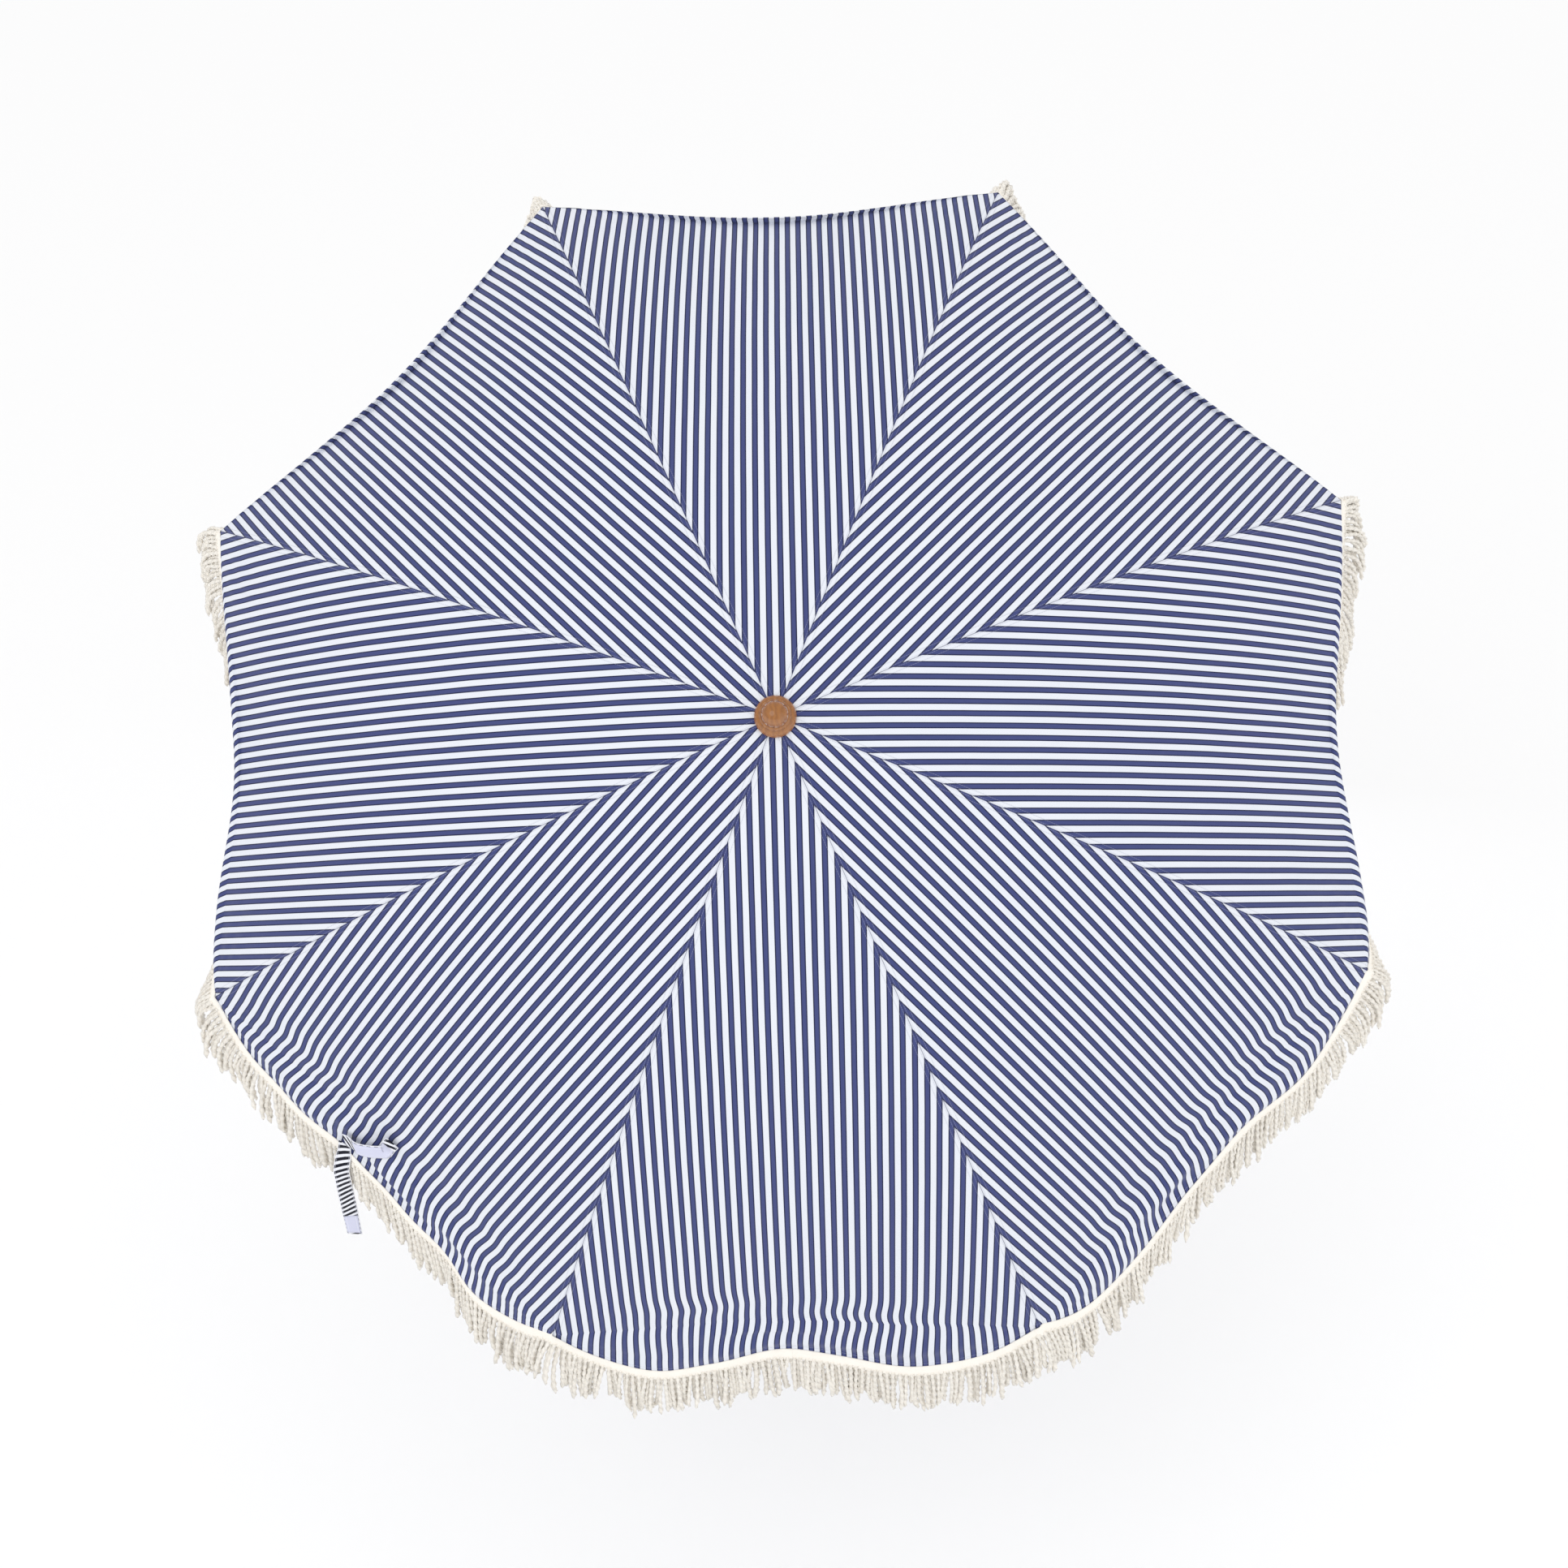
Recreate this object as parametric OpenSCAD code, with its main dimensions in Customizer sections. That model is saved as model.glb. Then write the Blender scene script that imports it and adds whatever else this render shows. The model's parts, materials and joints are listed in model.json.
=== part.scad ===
// Beach umbrella with an eight-panel fringed canopy, a folding rib frame, a tilting knuckle
// and a two-piece timber pole with a ground spike.
// Frame: millimetres, +Z up along the lower pole, origin on the pole's axis where the ground spike begins.
// The upper pole leans towards -Y by the tilt angle, and the canopy is centred on it.

/* [Canopy] */
// Radius of the rib tips when the frame is open
canopy_r = 900; // [850:10:950]
// Height of the rib hinges above the rib tips
canopy_rise = 351; // [330:1:370]
// How far each rib bows above a straight line
rib_bow = 77; // [60:1:85]
// Thickness of the canopy cloth
cloth_t = 1.2; // [0.8:0.1:1.6]
// How far the cloth reaches past the rib tips
hem_reach = 10; // [8:1:14]
// How far the hem is drawn in between two ribs, where the panel is taut
hem_scallop = 22; // [10:1:30]
// Length of loose cloth that hangs down past the taut edge of each panel
hem_hang = 84; // [50:1:90]
// Length that the fringe hangs down
fringe_len = 95; // [80:1:115]

/* [Frame] */
// Diameter of ribs and struts
rod_d = 5; // [4:0.5:5]
// Distance from the pole's axis to the rib and strut hinges
hinge_r = 24; // [23:0.5:26]
// Angle along the rib's arc at which its strut is hinged
strut_at = 17.5; // [15:0.5:19]
// How far the strut's hinge lies under the rib
clip_drop = 9; // [8.5:0.5:11]

/* [Pole] */
// Diameter of the upper pole
upper_d = 28; // [26:0.5:28]
// Diameter of the lower pole
lower_d = 32; // [30:0.5:32]
// Length of the lower pole above the spike
lower_len = 760; // [700:10:900]
// Height of the tilt hinge above the origin
knuckle_z = 1010; // [1000:5:1100]
// Distance from the tilt hinge to the rib hinges
mast_len = 1080; // [1060:5:1150]
// Lean of the upper pole from upright
tilt = 45; // [30:1:45]

/* [Finial] */
// Diameter of the finial's skirt
finial_d = 55; // [50:1:60]
// Height of the finial
finial_h = 44; // [40:1:50]

/* [Hidden] */
$fn = 48;
rib_count = 8;
step = 360 / rib_count;
half = step / 2;
rod_r = rod_d / 2;
upper_r = upper_d / 2;
lower_r = lower_d / 2;

// the rib's arc, in the plane x outwards, z along the pole, measured from the rib hinge
chord = norm([canopy_r - hinge_r, canopy_rise]);
arc_r = chord * chord / (8 * rib_bow) + rib_bow / 2;
arc_angle = 2 * asin(chord / 2 / arc_r);
start_slope = atan(canopy_rise / (canopy_r - hinge_r)) - arc_angle / 2;
arc_centre = [hinge_r - arc_r * sin(start_slope), -arc_r * cos(start_slope)];
// a point beside the arc: a is the angle along it, off the distance above it
function arc_point(a, off) =
    arc_centre + (arc_r + off) * [sin(start_slope + a), cos(start_slope + a)];
clip_at = arc_point(strut_at, -clip_drop);
// rib hinge, clip and runner hinge make an isosceles triangle, so one ratio folds the frame exactly
strut_len = norm([clip_at[0] - hinge_r, clip_at[1]]);
strut_rise = atan2(-clip_at[1], clip_at[0] - hinge_r);
runner_drop = -2 * clip_at[1];

// hinges
eye_r = 5;
strut_eye_r = 4;
eye_w = 5;
slot_w = 6.4;
pin_r = 1.5;
bore_r = 1.6;
pin_len = 15;
notch_r = 33;
notch_tall = 14;
notch_short = 8;
slot_inner = 18;
slot_roof = 5.4;
sleeve_r = 3.8;
rod_bore = 2.65;

// cloth
cloth_gap = 4.8;
cloth_inner_r = 31;
hang_middle = 0.85;
hang_lean = 0.4;
hang_lean_high = 0.06;
hem_scallop_high = 40;
crown_bump = 5;
crown_fade = 45;
sector = 0.998;
fringe_t = 3;
fringe_clear = 2;

// knuckle
knuckle_pin_r = 4;
ear_r = 14;
tongue_w = 15.2;
ear_in = 8;
ear_out_left = 14;
ear_out_right = 18;
button_bed = 13.5;
button_r = 9;
socket_wall = 3;
fit = 0.1;

// ferrule and screws
ferrule_z = 690;
ferrule_top = 870;
ferrule_r = 18.5;
tenon_r = 15;
slide_gap = 0.3;
screw_r = 3;
screw_z = 835;
runner_screw_z = -36;

// ---------- placing ----------
// the upper pole's frame: its z axis runs up the leaning pole from the tilt hinge
module on_mast(h = 0) {
    translate([0, 0, knuckle_z]) rotate([tilt, 0, 0]) translate([0, 0, h]) children();
}
module at_rib(i) {
    rotate([0, 0, (i - 0.5) * step]) children();
}
module around() {
    for (i = [1:rib_count]) at_rib(i) children();
}
// a cylinder along y, centred
module cross(r, w) {
    rotate([90, 0, 0]) cylinder(r = r, h = w, center = true);
}
// a cylinder along x, from x0 to x1
module side(r, x0, x1) {
    translate([x0, 0, 0]) rotate([0, 90, 0]) cylinder(r = r, h = x1 - x0);
}
// a point of the mast's frame in the part's own frame
function world(p) = [
    p[0],
    p[1] * cos(tilt) - (p[2] + mast_len) * sin(tilt),
    knuckle_z + p[1] * sin(tilt) + (p[2] + mast_len) * cos(tilt)];

// ---------- lower pole ----------
spike_len = 110;
peg_r = 6;
peg_len = 60;
module ground_spike() color("dimgray") {
    translate([0, 0, -spike_len]) cylinder(r1 = 2.5, r2 = lower_r, h = spike_len);
    cylinder(r = peg_r, h = peg_len);
}
module lower_pole() color("sienna") difference() {
    union() {
        cylinder(r = lower_r, h = ferrule_z);
        cylinder(r = tenon_r, h = lower_len);
    }
    translate([0, 0, -1]) cylinder(r = peg_r + fit, h = peg_len + 2);
}
module ferrule() color("silver") difference() {
    union() {
        translate([0, 0, ferrule_z + 0.2]) cylinder(r = ferrule_r, h = ferrule_top - ferrule_z - 0.2);
        for (z = [ferrule_z + 0.2, lower_len - 4, ferrule_top - 6])
            translate([0, 0, z]) cylinder(r = ferrule_r + 1.2, h = 6);
        translate([0, 0, screw_z]) side(8, upper_r + 1, ferrule_r + 7);
    }
    translate([0, 0, ferrule_z - 1]) cylinder(r = tenon_r + fit / 2, h = lower_len - ferrule_z + 1.2);
    translate([0, 0, lower_len]) cylinder(r = upper_r + slide_gap, h = ferrule_top);
    translate([0, 0, screw_z]) side(screw_r + fit, 5, ferrule_r + 10);
}
// a fluted knob on a plain stem along x: tip and seat are the stem's ends
knob_r = 11;
knob_neck = 3;
knob_h = 11;
flute_r = 2.6;
module fluted_screw(tip, seat) {
    side(screw_r, tip, seat + 1);
    side(6, seat, seat + knob_neck + 1);
    difference() {
        side(knob_r, seat + knob_neck, seat + knob_neck + knob_h);
        for (a = [30:60:330]) rotate([a, 0, 0]) translate([0, knob_r + 0.8, 0])
            side(flute_r, seat + knob_neck - 1, seat + knob_neck + knob_h + 1);
    }
}
module ferrule_screw() color("dimgray")
    translate([0, 0, screw_z]) fluted_screw(upper_r + 0.8, ferrule_r + 7.3);

// ---------- tilt knuckle ----------
socket_bottom = 935;
socket_top = 985;
module mid_pole() color("sienna")
    translate([0, 0, lower_len + 0.3]) cylinder(r = upper_r, h = 970 - lower_len - 0.3);
module knuckle_base() color("silver") difference() {
    union() {
        translate([0, 0, socket_bottom])
            cylinder(r = upper_r + socket_wall, h = socket_top - socket_bottom);
        translate([0, 0, knuckle_z]) for (x = [[-ear_out_left, -ear_in], [ear_in, ear_out_right]]) {
            side(ear_r, x[0], x[1]);
            translate([x[0], -ear_r, socket_top - knuckle_z - 6])
                cube([x[1] - x[0], 2 * ear_r, knuckle_z - socket_top + 6]);
        }
    }
    translate([0, 0, socket_bottom - 1]) cylinder(r = upper_r + fit, h = 970 - socket_bottom + 1.2);
    translate([0, 0, knuckle_z]) side(knuckle_pin_r + fit, -30, 30);
    translate([0, 0, knuckle_z]) side(button_r + 0.4, button_bed, 30);
}
module knuckle_bolt() color("silver") translate([0, 0, knuckle_z]) {
    side(knuckle_pin_r, -ear_out_left - 1, 16);
    side(7.5, -ear_out_left - 4.5, -ear_out_left - 0.1);
}
module knuckle_head() color("silver") on_mast() difference() {
    union() {
        side(ear_r, -tongue_w / 2, tongue_w / 2);
        translate([-tongue_w / 2, -ear_r + 1, 0]) cube([tongue_w, 2 * ear_r - 2, 36]);
        translate([0, 0, 30]) cylinder(r = upper_r + socket_wall, h = 55);
    }
    side(knuckle_pin_r + fit / 2, -30, 30);
    translate([0, 0, 38]) cylinder(r = upper_r + fit, h = 60);
}
button_tip = 26;
module tilt_button() color("dimgray") translate([0, 0, knuckle_z]) difference() {
    side(button_r, 17.6, button_tip);
    side(7.2, 16, button_tip - 2.2);
}
// a coil of n turns from x0 to x1, swept as a closed tube
coil_r = 5.8;
coil_wire = 0.6;
module coil(x0, x1, turns, ring = 14, sides = 6) {
    n = turns * ring;
    pts = [for (i = [0:n], k = [0:sides - 1])
        let (a = 360 * i / ring, b = 360 * k / sides, r = coil_r + coil_wire * cos(b))
        [x0 + (x1 - x0) * i / n + coil_wire * sin(b), r * cos(a), r * sin(a)]];
    walls = [for (i = [0:n - 1], k = [0:sides - 1])
        let (m = (k + 1) % sides)
        [i * sides + k, i * sides + m, (i + 1) * sides + m, (i + 1) * sides + k]];
    ends = [[for (k = [sides - 1:-1:0]) k], [for (k = [0:sides - 1]) n * sides + k]];
    polyhedron(points = pts, faces = concat(walls, ends), convexity = 10);
}
module tilt_spring() color("silver") translate([0, 0, knuckle_z])
    coil(button_bed + 0.8, button_tip - 3, 5);

// ---------- upper pole and crown ----------
module upper_pole() color("sienna") on_mast() difference() {
    translate([0, 0, 38.2]) cylinder(r = upper_r, h = mast_len + 2 - 38.2);
    translate([0, 0, mast_len - 34]) cylinder(r = screw_r + fit, h = 40);
}
// a ring of slots with one cross pin each; up is 1 where the slots open upwards, -1 downwards
module slots(up) {
    around() {
        z0 = up > 0 ? -slot_roof : -notch_tall - 1;
        translate([slot_inner, -slot_w / 2, z0]) cube([20, slot_w, slot_roof + notch_tall + 1]);
        translate([hinge_r, 0, 0]) cross(pin_r + 0.05, pin_len + 0.4);
    }
}
module pins() {
    around() translate([hinge_r, 0, 0]) cross(pin_r, pin_len);
}
module top_hub() color("saddlebrown") on_mast(mast_len) difference() {
    union() {
        translate([0, 0, -notch_tall]) cylinder(r = notch_r, h = notch_tall + notch_short);
        translate([0, 0, -notch_tall - 12]) cylinder(r = slot_inner, h = 14);
    }
    translate([0, 0, -notch_tall - 13]) cylinder(r = upper_r + fit, h = notch_tall + 15.2);
    translate([0, 0, -1]) cylinder(r = screw_r + fit, h = 20);
    slots(-1);
}
module hub_pins() color("silver") on_mast(mast_len) pins();
module canopy_crown() color("white") on_mast(mast_len + notch_short + 0.2) difference() {
    cylinder(r = cloth_inner_r * cos(half) - 0.5, h = 0.9);
    translate([0, 0, -1]) cylinder(r = screw_r + fit, h = 3);
}
stud_top = 30;
module finial_stud() color("silver") on_mast(mast_len - 32) cylinder(r = screw_r, h = 32 + stud_top);
// the turned outline: a skirt, a cove, a ringed shoulder and a domed cap
finial_base = notch_short + 1.3;
module finial() color("peru") on_mast(mast_len + finial_base) difference() {
    rotate_extrude($fn = 96) difference() {
        union() {
            square([finial_d / 2, 3]);
            intersection() {
                translate([0, 3]) scale([1, 0.55]) circle(r = finial_d / 2);
                square([finial_d / 2, 14]);
            }
            square([20, 19]);
            translate([0, 19]) scale([1, 0.35]) circle(r = 20.5);
            square([13.5, 27]);
            intersection() {
                translate([0, finial_h - 17.5]) circle(r = 17.5);
                square([20, finial_h]);
            }
        }
        translate([-60, -60]) square([60, 160]);
        translate([20.6, 15]) circle(r = 1.6);
    }
    translate([0, 0, -1]) cylinder(r = screw_r + fit, h = stud_top - finial_base + 2);
}

// ---------- runner ----------
runner_h = 60;
runner_sleeve_r = 21;
module runner() color("saddlebrown") on_mast(mast_len - runner_drop) difference() {
    union() {
        translate([0, 0, -notch_short]) cylinder(r = notch_r, h = notch_tall + notch_short);
        translate([0, 0, -runner_h]) cylinder(r = runner_sleeve_r, h = runner_h);
        translate([0, 0, -runner_h]) cylinder(r = runner_sleeve_r + 3, h = 6);
        translate([0, 0, runner_screw_z]) rotate([0, 0, -90]) side(8, upper_r + 2, 28);
    }
    translate([0, 0, -runner_h - 1]) cylinder(r = upper_r + 0.4, h = runner_h + notch_tall + 2);
    translate([0, 0, runner_screw_z]) rotate([0, 0, -90]) side(screw_r + fit, 5, 40);
    slots(1);
}
module runner_pins() color("silver") on_mast(mast_len - runner_drop) pins();
module runner_screw() color("dimgray")
    on_mast(mast_len - runner_drop + runner_screw_z) rotate([0, 0, -90]) fluted_screw(upper_r + 0.8, 28.3);

// ---------- ribs and struts, each drawn in the plane y = 0 ----------
module along_arc(a, off) {
    p = arc_point(a, off);
    translate([p[0], 0, p[1]]) rotate([0, start_slope + a, 0]) children();
}
module rib(i) color("white") on_mast(mast_len) at_rib(i) difference() {
    union() {
        translate([arc_centre[0], 0, arc_centre[1]])
            rotate([90, 0, 0]) rotate([0, 0, 90 - start_slope - arc_angle])
            rotate_extrude(angle = arc_angle) translate([arc_r, 0]) circle(r = rod_r);
        translate([hinge_r, 0, 0]) cross(eye_r, eye_w);
    }
    translate([hinge_r, 0, 0]) cross(bore_r, 20);
}
clip_w = 12;
ear_gap = 5.6;
ear_t = 2;
tip_len = 10;
module rib_clip() along_arc(strut_at, 0) difference() {
    union() {
        side(sleeve_r, -clip_w / 2, clip_w / 2);
        for (s = [-1, 1]) translate([0, s * (ear_gap + ear_t) / 2, 0]) {
            translate([0, 0, -clip_drop]) cross(strut_eye_r, ear_t);
            translate([-strut_eye_r, -ear_t / 2, -clip_drop]) cube([2 * strut_eye_r, ear_t, clip_drop]);
        }
    }
    side(rod_bore, -clip_w, clip_w);
    translate([0, 0, -clip_drop]) cross(pin_r + 0.05, 20);
}
module rib_tip() along_arc(arc_angle, 0) difference() {
    union() {
        side(sleeve_r, -tip_len, 1);
        translate([1, 0, 0]) sphere(r = sleeve_r);
    }
    side(rod_bore, -tip_len - 1, 0.05);
}
module rib_fittings(i) color("dimgray") on_mast(mast_len) at_rib(i) {
    rib_clip();
    along_arc(strut_at, -clip_drop) cross(pin_r, ear_gap + 2 * ear_t + 1);
    rib_tip();
}
module strut(i) color("white") on_mast(mast_len) at_rib(i)
    translate([hinge_r, 0, -runner_drop]) rotate([0, -strut_rise, 0]) difference() {
        union() {
            side(rod_r, 0, strut_len);
            for (x = [0, strut_len]) translate([x, 0, 0]) cross(strut_eye_r, eye_w);
        }
        for (x = [0, strut_len]) translate([x, 0, 0]) cross(bore_r, 20);
    }

// ---------- cloth ----------
inner_at = asin((cloth_inner_r - arc_centre[0]) / (arc_r + cloth_gap)) - start_slope;
// the direction that gravity pulls in, in the mast's frame
down = [0, -sin(tilt), -cos(tilt)];
// 0 on a rib, 1 a quarter of the way across a panel, hang_middle in the panel's middle
function slack(u) = u < 0.5 ? (1 - cos(360 * u)) / 2 : 1 - (1 - hang_middle) * (1 - cos(360 * u - 180)) / 2;
// 0 where the cloth faces up, 1 at the lowest rib, with an even turn between
function low_at(az) = let (s = max(0, min(1, -sin(az)))) s * s * (3 - 2 * s);
// the angle along the arc at which the taut cloth ends: it is cut deeper where it isn't pulled down
function hem_at(i, u) =
    let (scallop = hem_scallop_high + (hem_scallop - hem_scallop_high) * low_at(heading(i, u)))
    arc_angle + (hem_reach - scallop * (1 - cos(180 * u)) / 2) / arc_r * 180 / PI;
// the cloth's height above the rib, raised where it climbs on to the hub
function cloth_off(r) = cloth_gap + crown_bump * pow(max(0, min(1, 1 - (r - notch_r) / crown_fade)), 2);
// panels are flat between two ribs, so their middle lies nearer the axis than the ribs do
function flatness(u) = cos(half) / cos(half - abs(u) * half);
function heading(i, u) = (i - 0.5) * step + u * half;
// a direction in the plane of heading az: x outwards and z along the mast
function spread(az, x, z) = [x * cos(az), x * sin(az), z];
// u runs from one panel's middle (-1) over the rib (0) to the next panel's middle (1), v from hub to taut edge
function taut_point(i, u, v, off) =
    let (a = inner_at + v * (hem_at(i, u) - inner_at),
         p = arc_point(a, cloth_off(arc_point(a, 0)[0]) + off))
    spread(heading(i, u), p[0] * flatness(u), p[1]);
// the hem leans out most on the low side of the canopy, where the panels are steep already
function lean_at(az) = hang_lean_high + (hang_lean - hang_lean_high) * low_at(az);
// past v = 1 the cloth leans on outwards a little and then hangs
function hung_point(i, u, t, off) =
    let (slope = start_slope + hem_at(i, u),
         out = spread(heading(i, u), cos(slope) * flatness(u), -sin(slope)),
         face = spread(heading(i, u), sin(slope), cos(slope)),
         side = (out + face) - ((out + face) * down) * down,
         lean = lean_at(heading(i, u)) * (1 - pow(1 - t, 4)))
    taut_point(i, u, 1, 0) + hem_hang * slack(abs(u)) * (out * lean + down * (t - lean))
        + off * side / norm(side);
function cloth_point(i, u, v, off) = v <= 1 ? taut_point(i, u, v, off) : hung_point(i, u, v - 1, off);
// a closed sheet between two offsets over a patch of the cloth, with a row at each of the heights vs
module cloth_patch(i, u0, u1, vs, low, high, nu) {
    nv = len(vs) - 1;
    layer = (nu + 1) * (nv + 1);
    pts = [for (off = [high, low], m = [0:nu], v = vs) cloth_point(i, u0 + (u1 - u0) * m / nu, v, off)];
    function at(k, m, n) = k * layer + m * (nv + 1) + n;
    function pair(a, b, c, d) = [[a, b, c], [a, c, d]];
    faces = [
        for (m = [0:nu - 1], n = [0:nv - 1]) each concat(
            pair(at(0, m, n), at(0, m + 1, n), at(0, m + 1, n + 1), at(0, m, n + 1)),
            pair(at(1, m, n + 1), at(1, m + 1, n + 1), at(1, m + 1, n), at(1, m, n))),
        for (m = [0:nu - 1]) each concat(
            pair(at(1, m, 0), at(1, m + 1, 0), at(0, m + 1, 0), at(0, m, 0)),
            pair(at(0, m, nv), at(0, m + 1, nv), at(1, m + 1, nv), at(1, m, nv))),
        for (n = [0:nv - 1]) each concat(
            pair(at(0, 0, n), at(0, 0, n + 1), at(1, 0, n + 1), at(1, 0, n)),
            pair(at(1, nu, n), at(1, nu, n + 1), at(0, nu, n + 1), at(0, nu, n)))];
    on_mast(mast_len) polyhedron(points = pts, faces = faces, convexity = 10);
}
cloth_rows = concat([0, 0.008, 0.025], [for (n = [1:16]) n / 16], [1.12, 1.3, 1.6, 2]);
module canopy(i) color("lavender") cloth_patch(i, -sector, sector, cloth_rows, 0, cloth_t, 12);

// the fringe: a curtain of even thickness that stands out from the rib tips and hangs straight elsewhere
hem_steps = 12;
flare = 44;
function flared(i, u, t) =
    let (slope = start_slope + arc_angle, w = pow(1 - abs(u), 4), bend = 1 - pow(1 - min(1, t * 2.2), 2))
    spread(heading(i, u), cos(slope), -sin(slope)) * flare * w * bend
        + down * (fringe_clear + t * fringe_len - 0.45 * flare * w * bend);
fringe_rows = [0, 0.2, 0.45, 1];
module fringe(i) {
    n = hem_steps;
    rows = len(fringe_rows);
    hem = [for (m = [-1:n + 1])
        let (u = -sector + 2 * sector * m / n) world(cloth_point(i, u, 2, cloth_t / 2))];
    function across(m) =
        let (d = m == 0 ? hem[2] - hem[1] : m == n ? hem[n + 1] - hem[n] : hem[m + 2] - hem[m],
             c = [d[1], -d[0], 0]) c / norm(c) * fringe_t / 2;
    function curtain(m, t) = world(cloth_point(i, -sector + 2 * sector * m / n, 2, cloth_t / 2)
        + flared(i, -sector + 2 * sector * m / n, t));
    loop = concat([for (k = [0:rows - 1]) [1, fringe_rows[k]]], [for (k = [rows - 1:-1:0]) [-1, fringe_rows[k]]]);
    size = len(loop);
    pts = [for (m = [0:n], c = loop) curtain(m, c[1]) + c[0] * across(m)];
    walls = [for (m = [0:n - 1], k = [0:size - 1])
        let (j = (k + 1) % size)
        each [[size * m + k, size * (m + 1) + j, size * m + j], [size * m + k, size * (m + 1) + k, size * (m + 1) + j]]];
    ends = [for (k = [0:rows - 2]) each
        [[k, k + 1, size - 2 - k, size - 1 - k],
         [size * n + k, size * n + size - 1 - k, size * n + size - 2 - k, size * n + k + 1]]];
    color("beige") polyhedron(points = pts, faces = concat(walls, ends), convexity = 6);
}

// the tie: one arm hangs in front of the fringe of a low panel, the other lies on the cloth
tie_w = 20;
tie_len = 175;
tie_t = 1.6;
tie_rib = 5;
tie_at = 0.83;
tie_clear = 4.5;
tie_rise = 6;
tie_rows = [0.965, 0.975, 0.985];
module tie_strap() color("slategray") {
    hem = [for (u = [-0.02, 0, 0.02]) world(cloth_point(tie_rib, tie_at + u, 2, cloth_t / 2))];
    along = hem[2] - hem[0];
    translate(hem[1]) rotate([0, 0, atan2(along[1], along[0])])
        translate([-tie_w / 2, -tie_clear - tie_t, -tie_len]) cube([tie_w, tie_t, tie_len + tie_rise]);
    cloth_patch(tie_rib, tie_at - 0.03, tie_at + 0.15, tie_rows, cloth_t + 1, cloth_t + 1 + tie_t, 6);
}

// ---------- output ----------
ground_spike();
lower_pole();
ferrule();
ferrule_screw();
mid_pole();
knuckle_base();
knuckle_bolt();
tilt_button();
tilt_spring();
knuckle_head();
upper_pole();
top_hub();
hub_pins();
canopy_crown();
finial_stud();
finial();
runner();
runner_pins();
runner_screw();
tie_strap();
for (i = [1:rib_count]) {
    rib(i);
    rib_fittings(i);
    strut(i);
    canopy(i);
    fringe(i);
}
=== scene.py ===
"""The looks of a fringed beach umbrella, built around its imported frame. Metres, in the frame's own axes.

The mast leans towards -Y. Its own frame has its origin at the height of the rib hinges, and z along the mast.
Rib i stands at (i - 0.5) steps around it, and gore g is the panel of cloth between ribs g and g + 1.
"""
import json
import math

import bpy
import numpy as np
from mathutils import Matrix, Vector

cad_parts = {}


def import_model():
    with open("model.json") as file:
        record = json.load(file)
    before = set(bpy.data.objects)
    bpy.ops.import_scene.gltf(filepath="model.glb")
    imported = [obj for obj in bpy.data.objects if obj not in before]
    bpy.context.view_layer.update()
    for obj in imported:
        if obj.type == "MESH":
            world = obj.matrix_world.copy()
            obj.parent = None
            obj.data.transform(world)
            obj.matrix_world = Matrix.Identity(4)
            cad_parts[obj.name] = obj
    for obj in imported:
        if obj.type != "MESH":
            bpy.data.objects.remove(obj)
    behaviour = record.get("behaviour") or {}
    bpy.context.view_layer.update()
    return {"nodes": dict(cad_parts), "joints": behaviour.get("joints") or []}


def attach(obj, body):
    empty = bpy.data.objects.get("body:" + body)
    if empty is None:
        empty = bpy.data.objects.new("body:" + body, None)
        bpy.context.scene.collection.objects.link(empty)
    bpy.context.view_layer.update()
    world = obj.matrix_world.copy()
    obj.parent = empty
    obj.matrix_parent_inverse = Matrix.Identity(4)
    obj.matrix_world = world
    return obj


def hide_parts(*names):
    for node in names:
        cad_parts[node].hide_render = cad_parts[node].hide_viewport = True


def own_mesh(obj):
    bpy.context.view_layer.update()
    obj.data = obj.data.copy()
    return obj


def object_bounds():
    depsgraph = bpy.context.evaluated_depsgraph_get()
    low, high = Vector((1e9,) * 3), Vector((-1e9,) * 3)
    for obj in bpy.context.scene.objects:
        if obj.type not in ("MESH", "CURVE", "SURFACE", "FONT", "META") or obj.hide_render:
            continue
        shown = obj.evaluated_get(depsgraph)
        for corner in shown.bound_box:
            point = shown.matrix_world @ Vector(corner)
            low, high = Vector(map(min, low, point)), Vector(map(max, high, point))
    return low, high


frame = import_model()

# ---------- driving dimensions, as the frame has them ----------
RIBS = 8
STEP = 2 * math.pi / RIBS
HALF = STEP / 2
CANOPY_R = 0.900
CANOPY_RISE = 0.351
RIB_BOW = 0.077
CLOTH_GAP = 0.0052
CROWN_BUMP = 0.0044
CROWN_FADE = 0.045
CROWN_FROM_R = 0.033
CROWN_DIP = 0.0009
CROWN_DIP_R = 0.030
CROWN_DIP_EDGE = 0.003
HEM_REACH = 0.010
HEM_SCALLOP = 0.022
HEM_SCALLOP_HIGH = 0.046
HEM_HANG = 0.088
HANG_MIDDLE = 0.85
HANG_LOW = 0.05
HANG_LOWEST = 0.20
HANG_STEEP = 0.4
HANG_EASE = 0.004
HANG_LOWEST_MIDDLE = 0.70
HANG_LEAN = 0.62
HANG_LEAN_HIGH = 0.06
HANG_LEAN_RISE = 1.6
FRINGE_LEN = 0.095
FRINGE_CLEAR = 0.002
TIE_RIB = 5
TIE_AT = 0.79

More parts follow.
